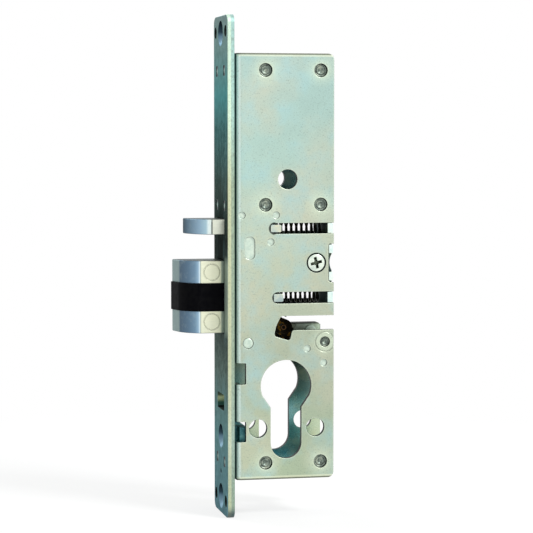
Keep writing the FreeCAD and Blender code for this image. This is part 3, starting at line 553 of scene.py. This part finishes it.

# Inner faces of the shells: a copy of the plating painted darker, as the shade inside the case.
dark_inside, tree, shader = coating("zinc_inside", metallic=0.95, rough=0.25)
patch = clouds(tree, 8.0, detail=3.0, seed=2.7)
grain = clouds(tree, 0.35, detail=3.0)
rise = spread(tree, along(tree, "Z"), -0.072, 0.04)
inside = shades(tree, rise, [
    (0.0, srgb(92, 160, 170)),
    (0.2, srgb(130, 176, 174)),
    (0.33, srgb(114, 136, 124)),
    (0.6, srgb(116, 136, 124)),
    (1.0, srgb(78, 128, 138)),
])
inside = blended(tree, spread(tree, patch, 0.45, 0.7, 0.0, 0.5), inside, srgb(178, 184, 146))
grained = spread(tree, grain, 0.4, 0.7, 0.0, 0.3)
inside = blended(tree, grained, inside, srgb(140, 160, 160), "MULTIPLY")
# Painted pool of light at two spots low on the inner face.
lit = spread(tree, nearest(tree, [(12.8, -59.2), (33.8, -59.2)]), 0.0044, 0.003)
inside = blended(tree, times(tree, lit, 0.6), inside, srgb(232, 236, 190))
level = along(tree, "Z")
# Painted shade in the lower middle of the inner face.
deep = times(tree, spread(tree, level, -0.05, -0.046), spread(tree, level, -0.02, -0.026))
deep = times(tree, deep, spread(tree, along(tree, "X"), 0.01, 0.02))
inside = blended(tree, times(tree, deep, 0.45), inside, srgb(40, 50, 42))
# Painted shade under the latch spring.
shade_under_coil = times(tree, spread(tree, level, -0.0154, -0.0146),
                   spread(tree, level, -0.0118, -0.0124))
inside = blended(tree, shade_under_coil, inside, srgb(8, 10, 8))
paint(tree, shader, inside, spread(tree, patch, 0.3, 0.7, 0.2, 0.32))
relief(tree, shader, grain, 0.012)

pin_plate, tree, shader = coating("pin_plating", metallic=0.6, rough=0.4)
patch = clouds(tree, 1.6, detail=3.0, seed=11.0)
grain = clouds(tree, 0.25, detail=3.0)
pin_tone = shades(tree, patch, [(0.35, srgb(190, 210, 196)), (0.65, srgb(214, 228, 212))])
pin_tone = blended(tree, spread(tree, grain, 0.5, 0.75, 0.0, 0.35), pin_tone, srgb(150, 166, 156))
# Painted shade: thin dark lines along the edges.
sharp, tight = edge_band(tree, 0.3, soft=0.05, hard=0.3)
pin_tone = blended(tree, times(tree, sharp, 0.85), pin_tone, srgb(78, 96, 88))
paint(tree, shader, pin_tone, spread(tree, patch, 0.3, 0.7, 0.34, 0.46))
relief(tree, shader, grain, 0.008, tight)

tenon_end, tree, shader = coating("tenon_end", metallic=0.5, rough=0.45)
tear = clouds(tree, 0.4, detail=3.0, seed=5.5)
off_tenon = None
for tenon_z in (0.0682, 0.0214, -0.0682):
    away = size_of(tree, reckoned(tree, "SUBTRACT", along(tree, "Z"), tenon_z))
    off_tenon = away if off_tenon is None else reckoned(tree, "MINIMUM", away, off_tenon)
end_tone = shades(tree, spread(tree, off_tenon, 0.0, 0.0018), [
    (0.0, srgb(150, 182, 172)),
    (0.35, srgb(104, 130, 124)),
    (0.6, srgb(30, 42, 42)),
    (1.0, srgb(12, 18, 18)),
])
end_tone = blended(tree, spread(tree, tear, 0.4, 0.65, 0.0, 0.6), end_tone, srgb(26, 38, 38))
paint(tree, shader, end_tone, spread(tree, tear, 0.3, 0.7, 0.4, 0.6))
relief(tree, shader, tear, 0.03)

case_coats = (zinc, shaded_cut_wall, dark_inside, pin_plate, tenon_end)
rim_z, rim_x, flange_x, tenon_x = 0.0735, 0.0353, 0.0031, -0.002
pad_low, pad_high, screw_seat = 0.0106, 0.0107, 0.0039
for side, outward in (("near", -1.0), ("far", 1.0)):
    half = finished_copy(side + "_case_half", side + "_case_shell", "case",
                         edge_mm=0.12)
    for material in case_coats:
        half.data.materials.append(material)
    for polygon in half.data.polygons:
        x, y, z = polygon.center
        forward, facing_out = -polygon.normal[0], polygon.normal[1] * outward
        on_rim = abs(z) > rim_z or x > rim_x
        on_front = x < flange_x and (forward > 0.3 or facing_out > 0.3)
        on_pad = facing_out > 0.99 and pad_low < abs(y) < pad_high
        from_screw = math.hypot(x - screw_x * mm, z - screw_z * mm)
        if forward > 0.9 and x < tenon_x:
            coat = tenon_end
        elif on_pad:
            coat = pin_plate
        elif 0.5 < facing_out < 0.9 and from_screw < screw_seat:
            coat = shaded_cut_wall
        elif facing_out > 0.5 or on_rim or on_front:
            coat = zinc
        elif facing_out < -0.3 or x < flange_x:
            coat = dark_inside
        else:
            coat = shaded_cut_wall
        polygon.material_index = case_coats.index(coat)


# Posts: steel pins whose ends are staked over in the sunk pads of the case plates. Each
# head keeps a ring and a dimple from the staking punch and a dull grey brown skin.
rivet_skin, tree, shader = coating("rivet_skin", metallic=0.65, rough=0.4)
patch = clouds(tree, 1.3, detail=4.0, seed=4.0)
grain = clouds(tree, 0.25, detail=3.0)
skin = shades(tree, patch, [
    (0.32, srgb(78, 86, 80)), (0.5, srgb(120, 134, 124)), (0.68, srgb(172, 180, 162))])
skin = blended(tree, spread(tree, grain, 0.48, 0.72, 0.0, 0.5), skin, srgb(60, 68, 64))
edge, rounded = edge_band(tree, 0.15)
skin = blended(tree, times(tree, edge, 0.45), skin, srgb(206, 216, 196))
paint(tree, shader, skin, spread(tree, patch, 0.3, 0.7, 0.3, 0.5))
relief(tree, shader, grain, 0.015, rounded)


case_side, inner_side, head_sink = 11.1, 9.1, 0.7
turned_smooth = math.radians(30.0)


def turned(name, x_mm, z_mm, outline):
    """A round piece across the case: an outline of radius and place along Y, spun about Y."""
    flats, same_point = 56, 0.000001
    mesh = bpy.data.meshes.new(name)
    points = [(radius * mm, y * mm, 0.0) for radius, y in outline]
    mesh.from_pydata(points, [(i, i + 1) for i in range(len(points) - 1)], [])
    piece = bpy.data.objects.new(name, mesh)
    bpy.context.scene.collection.objects.link(piece)
    bpy.ops.object.select_all(action="DESELECT")
    bpy.context.view_layer.objects.active = piece
    piece.select_set(True)
    spin = piece.modifiers.new("spin", "SCREW")
    spin.axis = "Y"
    spin.steps = flats
    spin.render_steps = flats
    spin.use_merge_vertices = True
    spin.merge_threshold = same_point
    bpy.ops.object.modifier_apply(modifier="spin")
    bpy.ops.object.mode_set(mode="EDIT")
    bpy.ops.mesh.select_all(action="SELECT")
    bpy.ops.mesh.remove_doubles(threshold=same_point)
    bpy.ops.mesh.normals_make_consistent(inside=False)
    bpy.ops.transform.translate(value=(x_mm * mm, 0.0, z_mm * mm))
    bpy.ops.object.mode_set(mode="OBJECT")
    bpy.ops.object.shade_smooth_by_angle(angle=turned_smooth)
    return piece


def both_ends(side):
    """An outline for a piece whose two ends are alike, from the outline of one."""
    return side + [(radius, -y) for radius, y in reversed(side)]


def staked_end(head, dimple):
    """Outline of one staked end from its middle out: dimple, land, ring groove, rolled rim."""
    face = case_side - head_sink
    return [
        (0.0, face - dimple * 0.45),
        (dimple * 0.4, face - dimple * 0.42),
        (dimple * 0.8, face - dimple * 0.12),
        (dimple, face),
        (head * 0.58, face + 0.02),
        (head * 0.62, face - 0.06),
        (head * 0.68, face - 0.2),
        (head * 0.76, face - 0.2),
        (head * 0.82, face - 0.05),
        (head * 0.87, face),
        (head * 0.94, face - 0.05),
        (head, face - 0.2),
    ]


def make_post(node, x, z, shaft, head, dimple):
    """One post with both ends staked, its shoulders standing against the case plates."""
    chamfer = 0.15
    side = staked_end(head, dimple)
    side += [(head, inner_side), (shaft - chamfer, inner_side), (shaft, inner_side - chamfer)]
    post = turned(node + "_staked", x, z, both_ends(side))
    post.data.materials.append(rivet_skin)
    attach(post, "case")
    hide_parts(node)


for row, post_z in post_rows.items():
    make_post(row + "_front_post", front_post_x, post_z, shaft=3.5, head=2.35, dimple=1.0)
    make_post(row + "_rear_post", rear_post_x, post_z, shaft=3.5, head=2.35, dimple=1.0)
make_post("lever_pivot_post", pivot_x, pivot_z, shaft=2.2, head=1.8, dimple=0.8)

# Guide pin below the latch bolt: a plated steel pin with a small chamfer. It is pressed
# through both case plates until its ends are flush with them.
guide_x, guide_z = 5.07, -26.26
flush = [(0.0, 11.08), (1.2, 11.08), (1.6, 11.06), (1.72, 11.0), (1.9, 10.8)]
guide = turned("latch_guide_pin_pressed", guide_x, guide_z, both_ends(flush))
guide.data.materials.append(pin_plate)
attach(guide, "case")
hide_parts("latch_guide_pin")

# Dog pin: a plain ground steel pin on which the deadlock dog turns. Its ends are seated in
# the inner faces of the case plates.
dog_x, dog_z = 14.6, 5.9
seat = [(0.0, 10.1), (1.35, 10.1), (1.5, 9.95)]
dog_pin = turned("dog_pivot_pin_ground", dog_x, dog_z, both_ends(seat))
dog_pin.data.materials.append(rivet_skin)
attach(dog_pin, "case")
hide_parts("dog_pivot_pin")


# Castings inside the case: the rear stop, the centre boss, the cylinder screw block, the
# bolt carriages and the dog, all zinc with a dull, slightly rough skin. What shows at the
# side of the case is pale; the rest gets a darker copy of the finish, teal on the cylinder
# screw block, as painted shade.
def casting_finish(name, dark, plain, pale, edge_colour):
    """Cast zinc in three tones with a fine grain and lighter edges."""
    material, tree, shader = coating(name, metallic=0.5, rough=0.5, tint=(0.4, 0.45, 0.45))
    shader.inputs["Specular IOR Level"].default_value = 0.15
    patch = clouds(tree, 3.5, detail=4.0, seed=2.0)
    grain = clouds(tree, 0.3, detail=3.0)
    casting = shades(tree, patch, [(0.35, dark), (0.5, plain), (0.66, pale)])
    casting = blended(tree, spread(tree, grain, 0.55, 0.75, 0.0, 0.35), casting, dark)
    edge, rounded = edge_band(tree, 0.25)
    casting = blended(tree, times(tree, edge, 0.6), casting, edge_colour)
    paint(tree, shader, casting, spread(tree, grain, 0.3, 0.7, 0.4, 0.6))
    relief(tree, shader, grain, 0.02, rounded)
    return material


cast_pale = casting_finish("cast_zinc_pale", srgb(160, 176, 174), srgb(182, 194, 184),
                           srgb(206, 206, 180), srgb(206, 222, 226))
stop_pale = casting_finish("stop_zinc_pale", srgb(190, 212, 210), srgb(214, 232, 226),
                           srgb(232, 240, 224), srgb(240, 250, 244))
block_teal = casting_finish("block_zinc", srgb(50, 96, 102), srgb(86, 142, 148),
                            srgb(122, 172, 168), srgb(150, 182, 172))
cast_shade = casting_finish("cast_zinc_shade", srgb(34, 50, 52), srgb(58, 76, 74),
                           srgb(86, 98, 82), srgb(130, 142, 124))
castings = {"rear_stop": "case", "centre_boss": "case", "cylinder_screw_block": "case",
            "latch_carriage": "latch", "trigger_carriage": "trigger", "deadlock_dog": "dog"}
side_reach, facing_side = 0.0102, 0.7
for node, body in castings.items():
    piece = finished_copy(node, node + "_cast", body, edge_mm=0.1)
    outer_coat = stop_pale if node == "rear_stop" else cast_pale
    inner_coat = block_teal if node == "cylinder_screw_block" else cast_shade
    piece.data.materials.append(outer_coat)
    piece.data.materials.append(inner_coat)
    for polygon in piece.data.polygons:
        # Faces inside the case take the darker copy as painted shade; on the carriages only faces
        # turned to the side stay pale.
        outside = abs(polygon.center[1]) > side_reach
        if node.endswith("_carriage"):
            outside = outside and abs(polygon.normal[1]) > facing_side
        polygon.material_index = 0 if outside else 1


# Lever: a stamped zinc-plated bar on the pivot post, with a grey side that darkens towards
# the front and a darker top edge. It carries the stud and, at its front end, the follower.
lever_plate, tree, shader = coating("lever_plating", metallic=0.55, rough=0.42)
patch = clouds(tree, 2.2, detail=4.0, seed=12.0)
grain = clouds(tree, 0.3, detail=3.0)
reach = spread(tree, along(tree, "X"), 0.0185, 0.0335)
lever_tone = shades(tree, reach, [
    (0.0, srgb(88, 98, 88)),
    (0.3, srgb(126, 136, 122)),
    (0.6, srgb(160, 176, 162)),
    (1.0, srgb(196, 212, 190)),
])
lever_tone = blended(tree, spread(tree, patch, 0.45, 0.7, 0.0, 0.55), lever_tone, srgb(92, 92, 68))
lever_tone = blended(tree, spread(tree, grain, 0.5, 0.75, 0.0, 0.35), lever_tone, srgb(70, 78, 68))
top_dark = spread(tree, along(tree, "Z"), -0.0209, -0.0205)
lever_tone = blended(tree, times(tree, top_dark, 0.85), lever_tone, srgb(36, 36, 26))
edge, rounded = edge_band(tree, 0.3, soft=0.02, hard=0.2)
lever_tone = blended(tree, times(tree, edge, 0.8), lever_tone, srgb(28, 32, 26))
paint(tree, shader, lever_tone, spread(tree, grain, 0.3, 0.7, 0.36, 0.52))
relief(tree, shader, grain, 0.012, rounded)
lever = finished_copy("retractor_lever", "retractor_lever_stamped", "retractor",
                      edge_mm=0.12)
lever.data.materials.append(lever_plate)
stud = finished_copy("lever_stud", "lever_stud_turned", "retractor", edge_mm=0.12)
stud.data.materials.append(pin_plate)


# Case screw: a countersunk, cross-recessed steel screw with a pale plated head. It clamps
# the case plates on the centre boss and leaves a dark groove round its head.
screw_skin, tree, shader = coating("screw_plating", metallic=0.65, rough=0.34)
patch = clouds(tree, 1.2, detail=3.0, seed=6.0)
grain = clouds(tree, 0.2, detail=2.0)
head_tone = shades(tree, patch, [(0.35, srgb(200, 214, 202)), (0.6, srgb(226, 236, 222))])
head_tone = blended(tree, spread(tree, grain, 0.6, 0.8, 0.0, 0.3), head_tone, srgb(140, 150, 130))
edge, rounded = edge_band(tree, 0.2)
head_tone = blended(tree, times(tree, edge, 0.4), head_tone, srgb(240, 246, 230))
paint(tree, shader, head_tone, spread(tree, patch, 0.3, 0.7, 0.28, 0.42))
relief(tree, shader, grain, 0.008, rounded)

screw_recess, tree, shader = coating("screw_recess", metallic=0.4, rough=0.5)
shader.inputs["Specular IOR Level"].default_value = 0.15
patch = clouds(tree, 0.6, detail=3.0, seed=6.5)
# The cross recess is painted dark as the shade inside it; its floor is lighter.
recess_tone = shades(tree, patch, [
    (0.35, srgb(22, 30, 26)), (0.6, srgb(48, 60, 48)), (0.75, srgb(96, 104, 78))])
recess_floor = spread(tree, size_of(tree, facing(tree, "Y")), 0.85, 0.97)
recess_tone = blended(tree, times(tree, recess_floor, 0.75), recess_tone, srgb(140, 154, 132))
paint(tree, shader, recess_tone, spread(tree, patch, 0.3, 0.7, 0.4, 0.6))

screw_outline = [
    (0.0, -case_side), (2.75, -case_side), (2.95, -11.02), (3.02, -10.85), (3.0, -10.6),
    (1.9, -9.5), (1.9, 5.6), (1.6, 5.9), (0.0, 5.9),
]
case_screw = turned("case_screw_driven", screw_x, screw_z, screw_outline)
case_screw.data.materials.append(screw_skin)
case_screw.data.materials.append(screw_recess)
screw_turn = math.radians(14.0)
blade_depth, blade_taper = 3.4, (0.5, 1.0, 0.6)
blades = []
for length, width, part_turn in ((5.4, 1.25, 0.0), (5.4, 1.25, 0.5), (2.3, 2.3, 0.25)):
    bpy.ops.object.select_all(action="DESELECT")
    bpy.ops.mesh.primitive_cube_add(size=mm, location=(0.0, 0.0, 0.0))
    blade = bpy.context.object
    bpy.ops.object.mode_set(mode="EDIT")
    bpy.ops.transform.resize(value=(length, blade_depth, width))
    bpy.ops.mesh.select_all(action="DESELECT")
    bpy.ops.object.mode_set(mode="OBJECT")
    for face in blade.data.polygons:
        face.select = face.normal[1] > 0.9
    bpy.ops.object.mode_set(mode="EDIT")
    bpy.ops.transform.resize(value=blade_taper)
    bpy.ops.mesh.select_all(action="SELECT")
    bpy.ops.transform.rotate(value=part_turn * math.pi + screw_turn, orient_axis="Y",
                             center_override=(0.0, 0.0, 0.0))
    bpy.ops.transform.translate(value=(screw_x * mm, -case_side * mm, screw_z * mm))
    bpy.ops.object.mode_set(mode="OBJECT")
    blade.data.materials.append(screw_recess)
    blades.append(blade)
bpy.ops.object.select_all(action="DESELECT")
bpy.context.view_layer.objects.active = case_screw
case_screw.select_set(True)
for blade in blades:
    punch = case_screw.modifiers.new("recess", "BOOLEAN")
    punch.operation = "DIFFERENCE"
    punch.solver = "EXACT"
    punch.object = blade
    bpy.ops.object.modifier_apply(modifier="recess")
    bpy.data.objects.remove(blade)
recess_top, recess_end, recess_reach = -0.01105, -0.009, 0.0026
head_end, shank_reach = -0.0109, 0.0019
for face in case_screw.data.polygons:
    x, y, z = face.center
    spoke = math.hypot(x - screw_x * mm, z - screw_z * mm)
    in_recess = recess_top < y < recess_end and spoke < recess_reach
    in_groove = y > head_end and spoke > shank_reach
    face.material_index = 1 if in_recess or in_groove else 0
bpy.ops.object.shade_smooth_by_angle(angle=turned_smooth)
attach(case_screw, "case")
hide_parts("case_screw")


# Latch bolt: a brushed steel bolt with a curved, bevelled nose. The curved face has a painted
# reflection, steel blue and paler up to a painted highlight at the crease; the flat behind it
# is cream, with painted shade where the bolt goes into the end plate.
def bolt_finish(name, stops, start, end):
    """Satin steel with a painted reflection whose tone runs along the bolt, painted shade on its
    top and bottom faces, and the brushing along it too.
    """
    material, tree, shader = coating(name, metallic=0.7, rough=0.34, tint=(0.5, 0.55, 0.55))
    reach = spread(tree, along(tree, "X"), start, end)
    tone = shades(tree, reach, stops)
    brushed = clouds(tree, 0.14, detail=3.0, stretch=(24.0, 1.0, 1.0), seed=3.0)
    patch = clouds(tree, 2.5, detail=3.0, seed=5.0)
    scratched = spread(tree, brushed, 0.35, 0.75, 0.0, 0.15)
    tone = blended(tree, scratched, tone, srgb(160, 170, 166), "MULTIPLY")
    tone = blended(tree, spread(tree, patch, 0.5, 0.75, 0.0, 0.16), tone, srgb(190, 205, 196))
    edge, rounded = edge_band(tree, 0.45)
    tone = blended(tree, times(tree, edge, 0.6), tone, srgb(60, 72, 70))
    # Painted shade on the top and bottom faces of the bolt.
    top_and_bottom_shade = spread(tree, size_of(tree, facing(tree, "Z")), 0.45, 0.85)
    tone = blended(tree, times(tree, top_and_bottom_shade, 0.85), tone, srgb(36, 44, 48))
    paint(tree, shader, tone, spread(tree, brushed, 0.2, 0.8, 0.28, 0.42))
    relief(tree, shader, brushed, 0.004, rounded)
    return material


latch_steel = bolt_finish("latch_steel", [
    (0.0, srgb(142, 160, 160)),
    (0.085, srgb(138, 156, 156)),
    (0.105, srgb(82, 102, 120)),
    (0.25, srgb(96, 122, 144)),
    (0.38, srgb(118, 148, 172)),
    (0.44, srgb(150, 182, 206)),
    (0.475, srgb(222, 242, 250)),
    (0.488, srgb(160, 170, 158)),
    (0.505, srgb(236, 238, 212)),
    (0.915, srgb(230, 232, 204)),
    (0.935, srgb(206, 210, 182)),
    (0.945, srgb(152, 166, 152)),
    (1.0, srgb(142, 156, 142)),
], -0.01875, -0.0025)
latch = finished_copy("latch_bolt", "latch_bolt_nose", "latch", edge_mm=0.0)
latch.data.materials.append(latch_steel)

# Latch insert: a hard strip of black plastic let into the bevel of the bolt, where the
# bolt meets the strike. It stands a little proud of the steel.
black_plastic, tree, shader = coating("black_plastic", metallic=0.0, rough=0.42)
shader.inputs["Specular IOR Level"].default_value = 0.03
patch = clouds(tree, 2.0, detail=4.0, seed=7.0)
grain = clouds(tree, 0.25, detail=2.0)
black = shades(tree, patch, [(0.35, srgb(3, 3, 6)), (0.65, srgb(10, 10, 12))])
edge, rounded = edge_band(tree, 0.2)
black = blended(tree, times(tree, edge, 0.35), black, srgb(44, 47, 50))
paint(tree, shader, black, spread(tree, patch, 0.3, 0.7, 0.34, 0.54))
relief(tree, shader, grain, 0.008, rounded)
insert = finished_copy("latch_insert", "latch_insert_strip", "latch", edge_mm=0.0)
insert.data.materials.append(black_plastic)

# Trigger bolt: the small satin steel bolt above the latch, with a bevelled nose. The strike
# holds it in while the latch is out.
# Painted reflection along the nose, dark at the tip and paler up to a painted highlight, then a
# narrow darker band and the cream flat.
trigger_steel = bolt_finish("trigger_steel", [
    (0.0, srgb(54, 74, 88)),
    (0.07, srgb(96, 120, 138)),
    (0.3, srgb(146, 176, 198)),
    (0.46, srgb(176, 208, 222)),
    (0.51, srgb(240, 255, 255)),
    (0.576, srgb(240, 252, 246)),
    (0.584, srgb(120, 130, 128)),
    (0.604, srgb(112, 122, 118)),
    (0.612, srgb(248, 252, 234)),
    (1.0, srgb(248, 252, 234)),
], -0.0149, -0.0012)
trigger = finished_copy("trigger_bolt", "trigger_bolt_nose", "trigger", edge_mm=0.0)
trigger.data.materials.append(trigger_steel)

# Cross pins: ground steel pins pressed through the tails of the bolts and through their
# carriages, which they hold together.
for node, body in (("latch_cross_pin", "latch"), ("trigger_cross_pin", "trigger")):
    pin = finished_copy(node, node + "_ground", body, edge_mm=0.15)
    pin.data.materials.append(rivet_skin)

# Follower: the black oiled pawl that the cylinder's cam turns against the lever. Its pin
# sits deep in the bore, and the bore is painted as a dark hole, the shade inside it.
oiled_black, tree, shader = coating("oiled_black", metallic=0.3, rough=0.4,
                                    tint=(0.3, 0.26, 0.18))
shader.inputs["Specular IOR Level"].default_value = 0.15
patch = clouds(tree, 3.0, detail=3.0, seed=8.4)
grain = clouds(tree, 0.25, detail=2.0)
# Brown gold patches on the black are a painted sheen.
oiled = shades(tree, patch, [
    (0.4, srgb(4, 4, 3)),
    (0.54, srgb(12, 10, 6)),
    (0.61, srgb(92, 66, 16)),
    (0.66, srgb(26, 22, 12)),
    (0.74, srgb(50, 58, 56)),
])
edge, rounded = edge_band(tree, 0.25)
oiled = blended(tree, times(tree, edge, 0.25), oiled, srgb(96, 74, 30))
bore_x, bore_z = 18.6, -21.3
from_pin = spread(tree, nearest(tree, [(bore_x, bore_z)]), 0.0, 0.002)
# Painted shade: the bore is painted dark, with a lighter brown ring at its wall.
bore_share = shades(tree, from_pin, [
    (0.0, grey(1.0)), (0.56, grey(1.0)), (0.64, grey(0.0)), (1.0, grey(0.0))])
bore_shade_tone = shades(tree, from_pin, [
    (0.0, srgb(3, 3, 3)),
    (0.28, srgb(4, 4, 4)),
    (0.36, srgb(96, 70, 44)),
    (0.44, srgb(70, 52, 34)),
    (0.5, srgb(4, 4, 4)),
    (1.0, srgb(4, 4, 4)),
])
oiled = blended(tree, bore_share, oiled, bore_shade_tone)
paint(tree, shader, oiled, spread(tree, patch, 0.3, 0.7, 0.3, 0.5))
relief(tree, shader, grain, 0.01, rounded)
follower = finished_copy("lever_follower", "lever_follower_oiled", "retractor",
                         edge_mm=0.08)
follower.data.materials.append(oiled_black)
follower_pin = finished_copy("follower_pin", "follower_pin_oiled", "retractor",
                             edge_mm=0.1)
follower_pin.data.materials.append(oiled_black)


# Return springs: black spring wire, wound open with closed coils at both ends. Each
# stands between its carriage and the rear of the case; in the lock it is pressed as the bolt
# goes in, here it is wound at one length and stays with the case.
black_wire, tree, shader = coating("black_wire", metallic=0.3, rough=0.4, tint=(0.3, 0.3, 0.2))
patch = clouds(tree, 1.2, detail=3.0, seed=9.0)
grain = clouds(tree, 0.2, detail=2.0)
# Olive patches on the black wire are painted glints.
wire_tone = shades(tree, patch, [
    (0.4, srgb(6, 7, 6)), (0.56, srgb(18, 20, 14)), (0.7, srgb(70, 68, 34))])
paint(tree, shader, wire_tone, spread(tree, patch, 0.3, 0.7, 0.3, 0.46))
relief(tree, shader, grain, 0.006)


spring_outer, spring_end = 0.005, 0.03335
closed_turns, closed_gap = 2.0, 0.00046
wire_sides, steps_a_turn = 10, 24
wire_joint, wire_smooth = 0.00002, math.radians(50.0)


def wind_spring(name, wire, axis_z, start_x, turns):
    """A coil along X from a ring of wire, screwed round in three runs and then joined."""
    middle = (spring_outer - wire) / 2.0
    open_turns = turns - 2.0 * closed_turns
    closed_length = closed_turns * (wire + closed_gap)
    open_length = spring_end - start_x - wire - 2.0 * closed_length
    open_x = start_x + wire / 2.0 + closed_length
    closed_x = spring_end - wire / 2.0 - closed_length
    runs = [
        (start_x + wire / 2.0, 0.0, closed_turns, closed_length),
        (open_x, closed_turns, open_turns, open_length),
        (closed_x, closed_turns + open_turns, closed_turns, closed_length),
    ]
    here = (0.0, 0.0, axis_z)
    parts = []
    for run_x, turned_by, run_turns, run_length in runs:
        bpy.ops.object.select_all(action="DESELECT")
        bpy.ops.mesh.primitive_circle_add(vertices=wire_sides, radius=wire / 2.0, location=here)
        ring = bpy.context.object
        bpy.ops.object.mode_set(mode="EDIT")
        bpy.ops.mesh.select_all(action="SELECT")
        bpy.ops.transform.rotate(value=math.pi / 2.0, orient_axis="X", center_override=here)
        bpy.ops.transform.translate(value=(run_x, 0.0, middle))
        bpy.ops.transform.rotate(value=-2.0 * math.pi * turned_by, orient_axis="X",
                                 center_override=here)
        bpy.ops.object.mode_set(mode="OBJECT")
        winding = ring.modifiers.new("winding", "SCREW")
        winding.axis = "X"
        winding.angle = 2.0 * math.pi * run_turns
        winding.screw_offset = run_length
        winding.iterations = 1
        winding.steps = round(steps_a_turn * run_turns)
        winding.render_steps = winding.steps
        bpy.ops.object.modifier_apply(modifier="winding")
        parts.append(ring)
    bpy.ops.object.select_all(action="DESELECT")
    for part in parts:
        part.select_set(True)
    bpy.context.view_layer.objects.active = parts[0]
    bpy.ops.object.join()
    coil = bpy.context.object
    coil.name = name
    bpy.ops.object.transform_apply(location=True, rotation=True, scale=True)
    bpy.ops.object.mode_set(mode="EDIT")
    bpy.ops.mesh.select_all(action="SELECT")
    bpy.ops.mesh.remove_doubles(threshold=wire_joint)
    bpy.ops.mesh.fill_holes(sides=0)
    bpy.ops.mesh.select_all(action="SELECT")
    bpy.ops.mesh.normals_make_consistent(inside=False)
    bpy.ops.object.mode_set(mode="OBJECT")
    bpy.ops.object.shade_smooth_by_angle(angle=wire_smooth)
    coil.data.materials.append(black_wire)
    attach(coil, "case")
    return coil


latch_coil = wind_spring("latch_return_spring", wire=0.0008, axis_z=-0.0106,
                         start_x=0.00005, turns=20.0)
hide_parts("latch_spring")
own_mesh(latch_coil)
trigger_coil = wind_spring("trigger_return_spring", wire=0.0009, axis_z=0.01355,
                           start_x=0.00405, turns=16.5)
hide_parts("trigger_spring")
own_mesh(trigger_coil)
